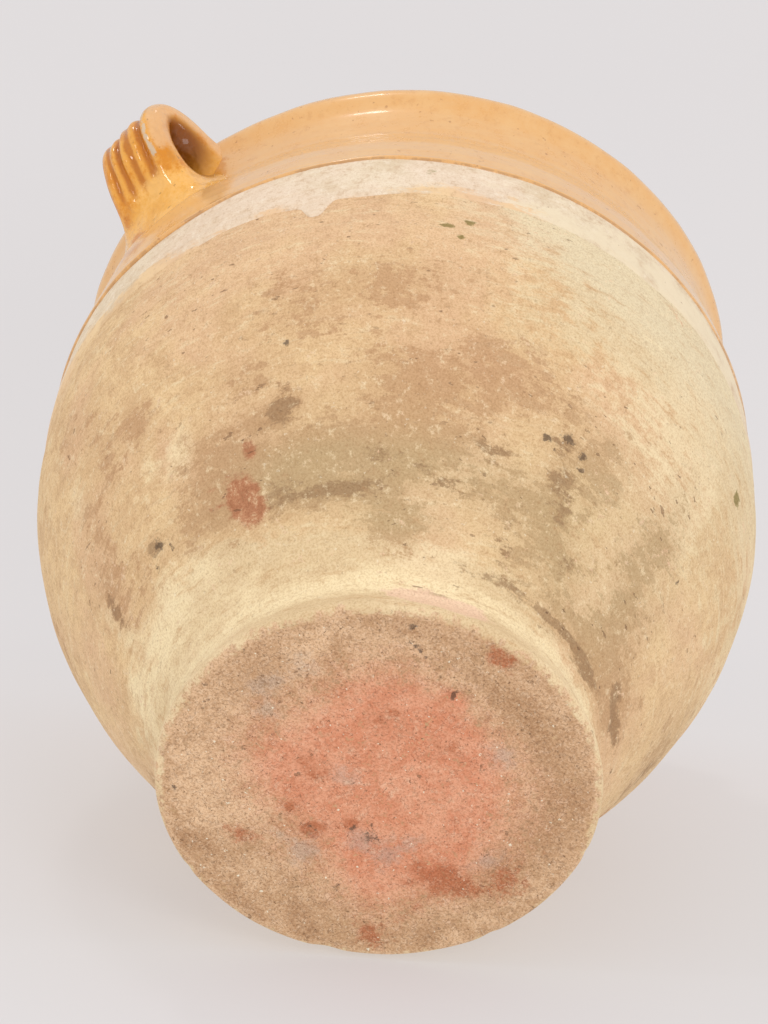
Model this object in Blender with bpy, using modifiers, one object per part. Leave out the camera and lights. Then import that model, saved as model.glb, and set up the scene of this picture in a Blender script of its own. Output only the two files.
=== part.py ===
"""Half-glazed earthenware preserves pot: a thrown body, two fluted ear handles and the coats on them.

Units are metres, +Z is up. The origin is the middle of the flat base, and the handles lie along X.
"""

import math

import bmesh
import bpy
from mathutils import Vector

# Turned outline of the body, outside
FOOT_RADIUS = 0.0865
FOOT_EDGE_ROUND = 0.0025
WAIST_RADIUS = 0.0818
WAIST_HEIGHT = 0.0205
BELLY_RADIUS = 0.1500
BELLY_HEIGHT = 0.1720
NECK_RADIUS = 0.1360
NECK_DROP = 0.0315  # below the rim
RIM_RADIUS = 0.1395
POT_HEIGHT = 0.2965
LIP_ROUND = 0.0058

# Fullness of the curves between those stations, as a share of the height between them
WAIST_PULL = 0.10
LOWER_BELLY_PULL = 0.44
UPPER_BELLY_PULL = 0.85
NECK_PULL = 0.15
FLARE_PULL = 0.50
FLARE_LIP_PULL = 0.30
FOOT_WAIST_PULL = 0.50
FOOT_EDGE_PULL = 0.60

# Angles on the lip's round section: its crown, and where the outer and inner walls run into it, in degrees
LIP_OUTER_ANGLE = -32.0
LIP_CROWN_ANGLE = 90.0
LIP_INNER_ANGLE = 205.0

# Clay thickness
WALL = 0.0090
FLOOR = 0.0130

# Coats: how deep the upturned pot was dipped, from the rim, and how thick they are
SLIP_DIP = 0.1065
GLAZE_DIP = 0.0770
SLIP_THICKNESS = 0.0005
GLAZE_THICKNESS = 0.0006

# Ear handles: the middle line of the strap, from under the rim to the shoulder
EAR_TOP_DROP = 0.0125  # below the rim
EAR_FOOT_DROP = 0.0415
EAR_TOP_REACH = 0.0408
EAR_TOP_RISE = 0.0225
EAR_FOOT_REACH = 0.0553
EAR_FOOT_RISE = 0.0170
EAR_ROOT_DEPTH = 0.0050
EAR_WIDTH = 0.0370
EAR_TOP_ROOT_WIDTH = 0.0420
EAR_FOOT_ROOT_WIDTH = 0.0470
EAR_THICKNESS = 0.0120
EAR_TOP_ROOT_THICKNESS = 0.0135
EAR_FOOT_ROOT_THICKNESS = 0.0205
EAR_ROOT_SHARE = 1.0 / 3.0  # of the strap's length, over which each root spreads
EAR_RIDGES = 4
EAR_FLUTE_DEPTH = 0.0026
EAR_SECTION_SQUARENESS = 3.0

# Gap between pieces that touch
SEAT_GAP = 0.0003

# Facets
TURN_STEPS = 36
WALL_POINTS = 7
LIP_POINTS = 3
FOOT_POINTS = 3
WELD = 0.00005
SHARP_DEGREES = 50.0
EAR_STATIONS = 14
EAR_SECTION_POINTS = 32

# Colours, and roughness
BUFF_CLAY = (0.72, 0.48, 0.29)
CREAM_SLIP = (0.82, 0.68, 0.48)
HONEY_GLAZE = (0.79, 0.44, 0.17)
AMBER_GLAZE = (0.74, 0.36, 0.10)
CLAY_ROUGHNESS = 0.85
SLIP_ROUGHNESS = 0.75
GLAZE_ROUGHNESS = 0.22


def clear_scene():
    for thing in list(bpy.data.objects):
        bpy.data.objects.remove(thing)


def new_collection(name):
    collection = bpy.data.collections.new(name)
    bpy.context.scene.collection.children.link(collection)
    return collection


def plain_material(name, colour, roughness):
    material = bpy.data.materials.new(name)
    material.use_nodes = True
    shader = material.node_tree.nodes["Principled BSDF"]
    shader.inputs["Base Color"].default_value = (*colour, 1.0)
    shader.inputs["Roughness"].default_value = roughness
    shader.inputs["Metallic"].default_value = 0.0
    return material


def curve_points(start, start_pull, end_pull, end, count):
    """Points of a cubic curve from start to end, without its first point."""
    points = []
    for index in range(1, count + 1):
        t = index / count
        s = 1.0 - t
        points.append(s**3 * start + 3 * s * s * t * start_pull + 3 * s * t * t * end_pull + t**3 * end)
    return points


def arc_points(centre, radius, start_degrees, end_degrees, count):
    """Points of an arc, its first and last point included."""
    points = []
    for index in range(count + 1):
        angle = math.radians(start_degrees + (end_degrees - start_degrees) * index / count)
        points.append(centre + radius * Vector((math.cos(angle), math.sin(angle))))
    return points


def upright_curve(start, start_share, end_share, end, count):
    """A curve between two stations of the wall that stands upright at both of them."""
    rise = end.y - start.y
    start_pull = start + Vector((0.0, start_share * rise))
    end_pull = end - Vector((0.0, end_share * rise))
    return curve_points(start, start_pull, end_pull, end, count)


def lip_centre():
    return Vector((RIM_RADIUS - LIP_ROUND, POT_HEIGHT - LIP_ROUND))


def waist_station():
    return Vector((WAIST_RADIUS, WAIST_HEIGHT))


def neck_station():
    return Vector((NECK_RADIUS, POT_HEIGHT - NECK_DROP))


def flare_curve(neck, lip_angle, lip_turn):
    """From a point of the neck up into the lip, ending along the lip's round."""
    angle = math.radians(lip_angle)
    outward = Vector((math.cos(angle), math.sin(angle)))
    end = lip_centre() + LIP_ROUND * outward
    rise = end.y - neck.y
    heading = lip_turn * Vector((-outward.y, outward.x))
    start_pull = neck + Vector((0.0, FLARE_PULL * rise))
    end_pull = end - FLARE_LIP_PULL * rise * heading
    return curve_points(neck, start_pull, end_pull, end, LIP_POINTS)


def side_wall():
    """Outside of the clay as (radius, height), from the neck down over the belly to the foot's waist."""
    belly = Vector((BELLY_RADIUS, BELLY_HEIGHT))
    rising = [waist_station()]
    rising += upright_curve(waist_station(), WAIST_PULL, LOWER_BELLY_PULL, belly, WALL_POINTS)
    rising += upright_curve(belly, UPPER_BELLY_PULL, NECK_PULL, neck_station(), WALL_POINTS)
    return rising[::-1]


def outer_wall():
    """Outside of the clay from the lip's crown down to the foot's waist."""
    rising = flare_curve(neck_station(), LIP_OUTER_ANGLE, 1.0)
    rising += arc_points(lip_centre(), LIP_ROUND, LIP_OUTER_ANGLE, LIP_CROWN_ANGLE, LIP_POINTS)[1:]
    return rising[::-1] + side_wall()


def foot_side():
    """Outside of the foot, from the waist down to the edge of the flat base."""
    edge = Vector((FOOT_RADIUS, FOOT_EDGE_ROUND))
    waist_pull = waist_station() - Vector((0.0, FOOT_WAIST_PULL * WAIST_HEIGHT))
    edge_pull = Vector((FOOT_RADIUS, (1.0 - FOOT_EDGE_PULL) * WAIST_HEIGHT))
    side = curve_points(waist_station(), waist_pull, edge_pull, edge, FOOT_POINTS)
    corner = Vector((FOOT_RADIUS - FOOT_EDGE_ROUND, FOOT_EDGE_ROUND))
    return side + arc_points(corner, FOOT_EDGE_ROUND, 0.0, -90.0, FOOT_POINTS)[1:]


def offset_outline(points, distance):
    """The outline moved sideways by distance, away from the clay for one that runs down the outside."""
    moved = []
    for index, point in enumerate(points):
        before = points[max(index - 1, 0)]
        after = points[min(index + 1, len(points) - 1)]
        along = (after - before).normalized()
        moved.append(point + distance * Vector((-along.y, along.x)))
    return moved


def above(points, height):
    """The stretch of a falling outline that lies above a height, cut at that height."""
    kept = [point for point in points if point.y > height]
    last = kept[-1]
    following = points[len(kept)]
    share = (last.y - height) / (last.y - following.y)
    return kept + [last.lerp(following, share)]


def inner_wall(lip_start=LIP_CROWN_ANGLE):
    """Inside of the clay from the lip, at an angle on its round, down to the middle of the floor."""
    neck = neck_station() - Vector((WALL, 0.0))
    falling = arc_points(lip_centre(), LIP_ROUND, lip_start, LIP_INNER_ANGLE, LIP_POINTS)
    falling += ([neck] + flare_curve(neck, LIP_INNER_ANGLE, -1.0))[-2::-1]
    falling += offset_outline(side_wall(), -WALL)[1:]
    last = falling[-1]
    corner_round = last.y - FLOOR
    corner = Vector((last.x - corner_round, last.y))
    falling += arc_points(corner, corner_round, 0.0, -90.0, LIP_POINTS)[1:]
    return falling + [Vector((0.0, FLOOR))]


def turned(name, outline, collection, material=None, closed=False):
    """A profile in the XZ plane, turned about Z. It runs down its outer side."""
    mesh = bpy.data.meshes.new(name)
    vertices = [(point.x, 0.0, point.y) for point in outline]
    edges = [(index, index + 1) for index in range(len(vertices) - 1)]
    if closed:
        edges.append((len(vertices) - 1, 0))
    mesh.from_pydata(vertices, edges, [])
    piece = bpy.data.objects.new(name, mesh)
    collection.objects.link(piece)
    screw = piece.modifiers.new("turn", "SCREW")
    screw.axis = "Z"
    screw.steps = TURN_STEPS
    screw.render_steps = TURN_STEPS
    screw.use_merge_vertices = True
    screw.merge_threshold = WELD
    screw.use_smooth_shade = True
    if material:
        mesh.materials.append(material)
    return piece


def cut(piece, cutter):
    boolean = piece.modifiers.new("cut " + cutter.name, "BOOLEAN")
    boolean.operation = "DIFFERENCE"
    boolean.solver = "EXACT"
    boolean.object = cutter


def as_cutter(piece):
    piece.hide_render = True
    piece.display_type = "WIRE"
    return piece


def coat(name, outline, near, far, collection, material):
    """A skin that follows an outline of the clay between two distances from it."""
    skin = offset_outline(outline, far) + offset_outline(outline, near)[::-1]
    return turned(name, skin, collection, material, closed=True)


def thrown_body(collection):
    outline = inner_wall()[::-1] + outer_wall()[1:] + foot_side() + [Vector((0.0, 0.0))]
    return turned("thrown_body", outline, collection, plain_material("buff_clay", BUFF_CLAY, CLAY_ROUGHNESS))


def slip_coat(collection):
    near = SEAT_GAP
    material = plain_material("cream_slip", CREAM_SLIP, SLIP_ROUGHNESS)
    outline = above(outer_wall(), POT_HEIGHT - SLIP_DIP)
    return coat("slip_coat", outline, near, near + SLIP_THICKNESS, collection, material)


def outer_glaze(collection):
    near = SEAT_GAP + SLIP_THICKNESS + SEAT_GAP
    material = plain_material("honey_glaze", HONEY_GLAZE, GLAZE_ROUGHNESS)
    outline = above(outer_wall(), POT_HEIGHT - GLAZE_DIP)
    return coat("outer_glaze", outline, near, near + GLAZE_THICKNESS, collection, material)


def inner_glaze(collection):
    """Lining of the inside, from just past the lip's crown to the middle of the floor."""
    clay = inner_wall(LIP_CROWN_ANGLE + math.degrees(SEAT_GAP / LIP_ROUND))
    face = offset_outline(clay, -(SEAT_GAP + GLAZE_THICKNESS))
    back = offset_outline(clay, -SEAT_GAP)
    face[-1].x = 0.0
    back[-1].x = 0.0
    material = plain_material("inside_glaze", HONEY_GLAZE, GLAZE_ROUGHNESS)
    return turned("inner_glaze", face[::-1] + back, collection, material)


def ear_root(height):
    """Where the strap's middle line starts inside the wall, at a height above the waist."""
    return above(outer_wall(), height)[-1] - Vector((EAR_ROOT_DEPTH, 0.0))


def ear_path(grow):
    """Middle line of an ear as (radius, height), from its root in the neck to its root in the shoulder.

    Each end is sunk straight into the wall by as much as the root is thick, and the seat cuts that off.
    """
    top = ear_root(POT_HEIGHT - EAR_TOP_DROP)
    foot = ear_root(POT_HEIGHT - EAR_FOOT_DROP)
    top_pull = top + Vector((EAR_TOP_REACH, EAR_TOP_RISE))
    foot_pull = foot + Vector((EAR_FOOT_REACH, EAR_FOOT_RISE))
    sunk_top = top - (EAR_TOP_ROOT_THICKNESS + grow) * (top_pull - top).normalized()
    sunk_foot = foot - (EAR_FOOT_ROOT_THICKNESS + grow) * (foot_pull - foot).normalized()
    return [sunk_top, top] + curve_points(top, top_pull, foot_pull, foot, EAR_STATIONS) + [sunk_foot]


def ear_section(share, grow):
    """Ring of (sideways, outward) points of the strap at a share of its length, fluted on its outer face."""
    to_top = max(0.0, 1.0 - share / EAR_ROOT_SHARE)
    to_foot = max(0.0, 1.0 - (1.0 - share) / EAR_ROOT_SHARE)
    width = EAR_WIDTH + (EAR_TOP_ROOT_WIDTH - EAR_WIDTH) * to_top**2
    width += (EAR_FOOT_ROOT_WIDTH - EAR_WIDTH) * to_foot**2
    thickness = EAR_THICKNESS + (EAR_TOP_ROOT_THICKNESS - EAR_THICKNESS) * to_top**2
    thickness += (EAR_FOOT_ROOT_THICKNESS - EAR_THICKNESS) * to_foot**2
    flute_depth = EAR_FLUTE_DEPTH * (1.0 - to_foot)
    power = 2.0 / EAR_SECTION_SQUARENESS
    ring = []
    for index in range(EAR_SECTION_POINTS):
        angle = 2.0 * math.pi * index / EAR_SECTION_POINTS
        across = math.copysign(abs(math.cos(angle)) ** power, math.cos(angle))
        out = math.copysign(abs(math.sin(angle)) ** power, math.sin(angle))
        outward = out * (0.5 * thickness + grow)
        if out > 0.0:
            groove = 0.5 + 0.5 * math.cos(math.pi * EAR_RIDGES * (across + 1.0))
            outward -= out * flute_depth * groove
        ring.append((across * (0.5 * width + grow), outward))
    return ring


def ear_mesh(name, grow):
    """Loft of the strap's sections along its middle line, at +X, closed by a face at each end."""
    path = ear_path(grow)
    shape = bmesh.new()
    rings = []
    for index, point in enumerate(path):
        before = path[max(index - 1, 0)]
        after = path[min(index + 1, len(path) - 1)]
        along = (after - before).normalized()
        outward = Vector((-along.y, along.x))
        ring = []
        share = min(max((index - 1) / EAR_STATIONS, 0.0), 1.0)
        for sideways, out in ear_section(share, grow):
            place = point + out * outward
            ring.append(shape.verts.new((place.x, sideways, place.y)))
        rings.append(ring)
    for ring, following in zip(rings, rings[1:]):
        for index in range(EAR_SECTION_POINTS):
            beside = (index + 1) % EAR_SECTION_POINTS
            shape.faces.new((ring[index], ring[beside], following[beside], following[index]))
    shape.faces.new(rings[0])
    shape.faces.new(rings[-1])
    bmesh.ops.recalc_face_normals(shape, faces=shape.faces)
    mesh = bpy.data.meshes.new(name)
    shape.to_mesh(mesh)
    shape.free()
    mesh.shade_smooth()
    mesh.set_sharp_from_angle(angle=math.radians(SHARP_DEGREES))
    return mesh


def ear_handle(name, mesh, turn, collection):
    handle = bpy.data.objects.new(name, mesh)
    handle.rotation_euler.z = turn
    collection.objects.link(handle)
    return handle


def ear_seat(collection):
    """The body's outside, a gap larger, as the solid that shapes the handles' roots."""
    side = offset_outline(outer_wall(), SEAT_GAP)
    crown = Vector((0.0, side[0].y))
    waist = Vector((0.0, side[-1].y))
    return as_cutter(turned("ear_seat", [crown] + side + [waist], collection))


def build():
    clear_scene()
    pot = new_collection("preserves_pot")
    cutters = new_collection("cutters")
    thrown_body(pot)
    coats = [slip_coat(pot), outer_glaze(pot)]
    inner_glaze(pot)
    seat = ear_seat(cutters)
    strap = ear_mesh("ear_handle", 0.0)
    strap.materials.append(plain_material("amber_glaze", AMBER_GLAZE, GLAZE_ROUGHNESS))
    clearance = ear_mesh("ear_clearance", SEAT_GAP)
    for side, turn in (("left", math.pi), ("right", 0.0)):
        handle = ear_handle(side + "_ear_handle", strap, turn, pot)
        cut(handle, seat)
        room = as_cutter(ear_handle(side + "_ear_clearance", clearance, turn, cutters))
        for skin in coats:
            cut(skin, room)


build()
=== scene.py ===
"""Half-glazed earthenware preserves pot: the clay body, its slip and glaze coats and its two fluted ears.

Lengths are in metres, +Z is up, and the origin is the middle of the flat base. Turn angles are measured
round Z from +X. Lists of marks and of unevenness are in degrees and millimetres.
"""

import bpy
import numpy as np
from mathutils import Matrix


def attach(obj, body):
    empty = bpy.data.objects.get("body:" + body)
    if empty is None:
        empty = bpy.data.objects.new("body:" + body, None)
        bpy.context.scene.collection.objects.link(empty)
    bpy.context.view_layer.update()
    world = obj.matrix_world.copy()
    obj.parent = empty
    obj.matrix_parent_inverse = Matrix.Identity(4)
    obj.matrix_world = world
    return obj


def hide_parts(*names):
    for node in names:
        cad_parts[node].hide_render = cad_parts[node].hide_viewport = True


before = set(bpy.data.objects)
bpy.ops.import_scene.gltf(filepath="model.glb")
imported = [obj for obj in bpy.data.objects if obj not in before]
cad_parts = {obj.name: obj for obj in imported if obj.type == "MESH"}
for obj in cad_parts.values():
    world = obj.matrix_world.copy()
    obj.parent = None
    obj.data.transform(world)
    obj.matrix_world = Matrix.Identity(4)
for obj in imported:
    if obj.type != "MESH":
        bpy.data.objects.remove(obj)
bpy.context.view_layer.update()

# Turned outline
FOOT_RADIUS = 0.0865
FOOT_EDGE_ROUND = 0.0025
WAIST_RADIUS = 0.0818
WAIST_HEIGHT = 0.0205
BELLY_RADIUS = 0.1500
BELLY_HEIGHT = 0.1720
NECK_RADIUS = 0.1360
NECK_HEIGHT = 0.2650
RIM_RADIUS = 0.1395
POT_HEIGHT = 0.2965
LIP_ROUND = 0.0058
LIP_OUTER_ANGLE, LIP_INNER_ANGLE = -32, 205
WALL = 0.0090
FLOOR = 0.0130

# Coats
SLIP_THICKNESS = 0.0006
SLIP_FEATHER = 0.0030
GLAZE_THICKNESS = 0.0006
GLAZE_FEATHER = 0.0007
GLAZE_BEAD = 0.0004
BEAD_RISE, BEAD_WIDTH = 0.0014, 0.0011
COAT_TUCK = 0.0003
CLAY_INSET = 0.0012
COVERED_HEIGHT = 0.196
LINING_THICKNESS = 0.0009
LINING_TUCK = 0.0002

# Ears
EAR_TOP_HEIGHT = 0.2840
EAR_FOOT_HEIGHT = 0.2550
EAR_ROOT_DEPTH = 0.0050
EAR_WIDTH = 0.0370
EAR_THICKNESS = 0.0105
EAR_UNDERFILL = 0.0034
EAR_TOP_PULL = (0.0392, 0.0225)
EAR_FOOT_PULL = (0.0534, 0.0170)
EAR_SQUARENESS = 2.0 / 3.0
EAR_GROOVES = (-1.0, -0.66, -0.36, -0.02, 0.36, 1.0)
EAR_GROOVE_DEPTHS = (0.0, 0.0004, 0.0028, 0.0004, 0.0034, 0.0)
EAR_FACE_DEPTHS = (0.0, 0.0016, 0.0018, 0.0014, 0.0026, 0.0)

# Rows up each piece, and columns round it
BASE_ROWS, FOOT_ROWS, WALL_ROWS, COVERED_ROWS, INNER_ROWS = 44, 22, 106, 9, 20
SLIP_ROWS, GLAZE_ROWS, LINING_ROWS, EAR_ROWS = 64, 72, 110, 200
CLAY_COLUMNS, SLIP_COLUMNS, GLAZE_COLUMNS, LINING_COLUMNS, EAR_COLUMNS = 500, 620, 520, 300, 160
BACK_SKIPS = 4
ROW_CROWDING = 1.25
MARKED_SIDE = (120, 135, 315, 330)
MARKED_SIDE_CROWDING = 1.3

# Camera
PHOTO_AZIMUTH = 316.17
PHOTO_ELEVATION = -54.55
PHOTO_ROLL = 3.82
PHOTO_FOCAL_PIXELS = 4000.0
PHOTO_WIDTH_PIXELS = 768.0
BASE_FROM_LENS = (-0.0022, -0.1062, -1.5382)


# Outline of the pot

def bend(start, start_pull, end_pull, end, steps):
    """Cubic curve between two points: each of the four points counts by its cubic share of the way t."""
    t = np.linspace(0.0, 1.0, steps)[:, None]
    s = 1.0 - t
    points = [np.asarray(p, float) for p in (start, start_pull, end_pull, end)]
    return s**3 * points[0] + 3 * s * s * t * points[1] + 3 * s * t * t * points[2] + t**3 * points[3]


def upright(start, start_share, end_share, end, steps):
    """Cubic curve that stands upright at both ends, pulled along the height by a share of the rise."""
    rise = end[1] - start[1]
    pulls = (start[0], start[1] + start_share * rise), (end[0], end[1] - end_share * rise)
    return bend(start, *pulls, end, steps)


def round_off(centre, radius, start, end, steps):
    """Arc about a centre: radius times the cosine and sine of an angle from start to end degrees."""
    a = np.radians(np.linspace(start, end, steps))
    return np.asarray(centre) + radius * np.c_[np.cos(a), np.sin(a)]


LIP_CENTRE = np.array([RIM_RADIUS - LIP_ROUND, POT_HEIGHT - LIP_ROUND])


def lip_run(neck, angle, turn, steps):
    """Cubic curve from the neck that runs into the lip's round at an angle, along the round there."""
    a = np.radians(angle)
    out = np.array([np.cos(a), np.sin(a)])
    end = LIP_CENTRE + LIP_ROUND * out
    rise = end[1] - neck[1]
    along = turn * np.array([-out[1], out[0]])
    return bend(neck, (neck[0], neck[1] + 0.5 * rise), end - 0.3 * rise * along, end, steps)


def outside():
    """Outer outline as (radius, height) from the flat base's edge, up foot and wall, to the lip's crown."""
    waist, belly = (WAIST_RADIUS, WAIST_HEIGHT), (BELLY_RADIUS, BELLY_HEIGHT)
    neck = (NECK_RADIUS, NECK_HEIGHT)
    edge = round_off((FOOT_RADIUS - FOOT_EDGE_ROUND, FOOT_EDGE_ROUND), FOOT_EDGE_ROUND, -90, 0, 12)
    foot_pulls = (FOOT_RADIUS, 0.4 * WAIST_HEIGHT), (WAIST_RADIUS, 0.5 * WAIST_HEIGHT)
    foot = bend((FOOT_RADIUS, FOOT_EDGE_ROUND), *foot_pulls, waist, 40)
    lower = upright(waist, 0.10, 0.44, belly, 200)
    upper = upright(belly, 0.85, 0.15, neck, 200)
    flare = lip_run(neck, LIP_OUTER_ANGLE, 1, 40)
    lip = round_off(LIP_CENTRE, LIP_ROUND, LIP_OUTER_ANGLE, 90, 30)
    return np.vstack([edge, foot[1:], lower[1:], upper[1:], flare[1:], lip[1:]])


def inside():
    """Inner outline from the lip's crown down the wall, parallel to the outside, to the floor's middle."""
    neck = (NECK_RADIUS - WALL, NECK_HEIGHT)
    lip = round_off(LIP_CENTRE, LIP_ROUND, 90, LIP_INNER_ANGLE, 20)
    flare = lip_run(neck, LIP_INNER_ANGLE, -1, 20)[::-1]
    outer = outside()
    side = outer[(outer[:, 1] >= WAIST_HEIGHT) & (outer[:, 1] <= NECK_HEIGHT)][::-1]
    wall = side - WALL * normals(side[::-1])[::-1]
    corner = wall[-1, 1] - FLOOR
    heel = round_off((wall[-1, 0] - corner, wall[-1, 1]), corner, 0, -90, 12)
    return np.vstack([lip, flare[1:], wall[1:], heel[1:], [(0.0, FLOOR)]])


def lengths(line):
    """Distance run along a line of points, from its first point."""
    return np.r_[0.0, np.cumsum(np.hypot(*np.diff(line, axis=0).T))]


def respaced(line, run, count):
    """A line's points again at even steps of its run, by straight runs between them, and those steps."""
    even = np.linspace(0.0, run[-1], count)
    return np.c_[[np.interp(even, run, v) for v in line.T]].T, even


def normals(line):
    """Unit vectors square to a line of (radius, height) points, to its right as it runs."""
    run = np.gradient(line, axis=0)
    run /= np.hypot(run[:, 0], run[:, 1])[:, None]
    return np.c_[run[:, 1], -run[:, 0]]


# The coats end a few points past the lip's crown, on its inner side.
POINTS_PAST_CROWN = 9
OUTSIDE = outside()
CROWN_RUN = lengths(OUTSIDE)[-1]
OVER_LIP = np.vstack([OUTSIDE, inside()[1:1 + POINTS_PAST_CROWN]])
OVER_LIP_RUN = lengths(OVER_LIP)
OVER_LIP_NORMALS = normals(OVER_LIP)


def on_outside(run):
    """Radius, height and the normal's two parts at a distance run up the outer outline and over the lip."""
    return [np.interp(run, OVER_LIP_RUN, v) for v in (*OVER_LIP.T, *OVER_LIP_NORMALS.T)]


def run_at(height):
    """Distance along the outer outline at which it reaches a height."""
    return np.interp(height, OUTSIDE[:, 1], OVER_LIP_RUN[:len(OUTSIDE)])


def radius_at(height):
    """Radius of the outer outline at a height."""
    return on_outside(run_at(height))[0]


def smooth(low, high, value):
    """Eased step: 0 below low, 1 above high, and 3t squared less 2t cubed between them."""
    t = np.clip((value - low) / (high - low), 0.0, 1.0)
    return t * t * (3.0 - 2.0 * t)


def between(start, full, fade, end, value):
    """Eased step up from start to full and down again from fade to end."""
    return smooth(start, full, value) * (1.0 - smooth(fade, end, value))


def bell(value, middle, width):
    """Bell curve: e to the power of less the square of the distance from its middle, in widths."""
    return np.exp(-(((value - middle) / width) ** 2))


def aside_of(turn, degrees):
    """Angle from a place in degrees to a turn, the short way round the pot."""
    return np.angle(np.exp(1j * (turn - np.radians(degrees))))


def waves(turn, counts, phases, sizes):
    """Sum of cosines round the pot, each with a whole count of waves, a phase and a size."""
    return sum(size * np.cos(count * turn + phase) for count, phase, size in zip(counts, phases, sizes))


def turns(count):
    """Angles round the pot, closer together on the side that carries most of the marks."""
    fine = np.linspace(0.0, 2.0 * np.pi, 3601)
    density = 1.0 + MARKED_SIDE_CROWDING * between(*MARKED_SIDE, np.degrees(fine))
    run = np.r_[0.0, np.cumsum(0.5 * (density[1:] + density[:-1]))]
    return np.interp(np.arange(count) / count * run[-1], run, fine)


# Hand-made unevenness, as millimetres at turns in degrees. The lip's table takes over near the top.

BELLY_GROWS_IN = (0.02, 0.15)
LIP_TAKES_OVER = (0.205, 0.285)
BELLY_STANDS_OFF = [
    (0, 0.1), (45, -0.2), (75, -0.2), (90, -0.3), (105, -0.2), (130, -0.6), (150, -0.4), (180, 0.2),
    (224, 0.2), (255, -0.1), (270, -0.1), (285, 0.3), (304, 1.0), (325, 0.6),
]
LIP_STANDS_OFF = [
    (0, -0.2), (60, -0.4), (110, -0.2), (150, -0.3), (180, -0.8), (195, -1.0), (208, 0.0), (224, 1.3),
    (240, 2.0), (260, 1.8), (290, 1.3), (310, 0.6), (335, 0.2),
]
GLAZE_EDGE = [
    (0, 219), (30, 221), (60, 218.5), (90, 220), (120, 221), (150, 218.5), (170, 217), (180, 216.5),
    (190, 217), (200, 219.6), (210, 221.5), (220, 224), (230, 225), (240, 224.5), (250, 224), (270, 223),
    (300, 222), (330, 220.5),
]
SLIP_EDGE = [
    (0, 190), (40, 191), (80, 188), (120, 187), (150, 186), (170, 186), (180, 187), (190, 188), (200, 189),
    (210, 191), (220, 193), (230, 194), (240, 195), (250, 196), (270, 196), (300, 195), (330, 192),
]


def round_the_pot(turn, table):
    """Listed millimetres joined by straight runs round the pot, softened by their mean over ten degrees."""
    degrees, values = np.array(table, float).T
    shifts = np.linspace(-5.0, 5.0, 11)
    runs = [np.interp(np.degrees(turn) + shift, degrees, values, period=360.0) for shift in shifts]
    return 0.001 * np.mean(runs, axis=0)


def out_of_round(turn, height):
    """How far the wall stands off a true circle: the belly's table, easing into the lip's near the top."""
    to_lip = smooth(*LIP_TAKES_OVER, height)
    belly = smooth(*BELLY_GROWS_IN, height) * round_the_pot(turn, BELLY_STANDS_OFF)
    return belly * (1.0 - to_lip) + to_lip * round_the_pot(turn, LIP_STANDS_OFF)


# Marks on the wall. Each row is turn in degrees, height, half width, half height, strength.

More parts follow.
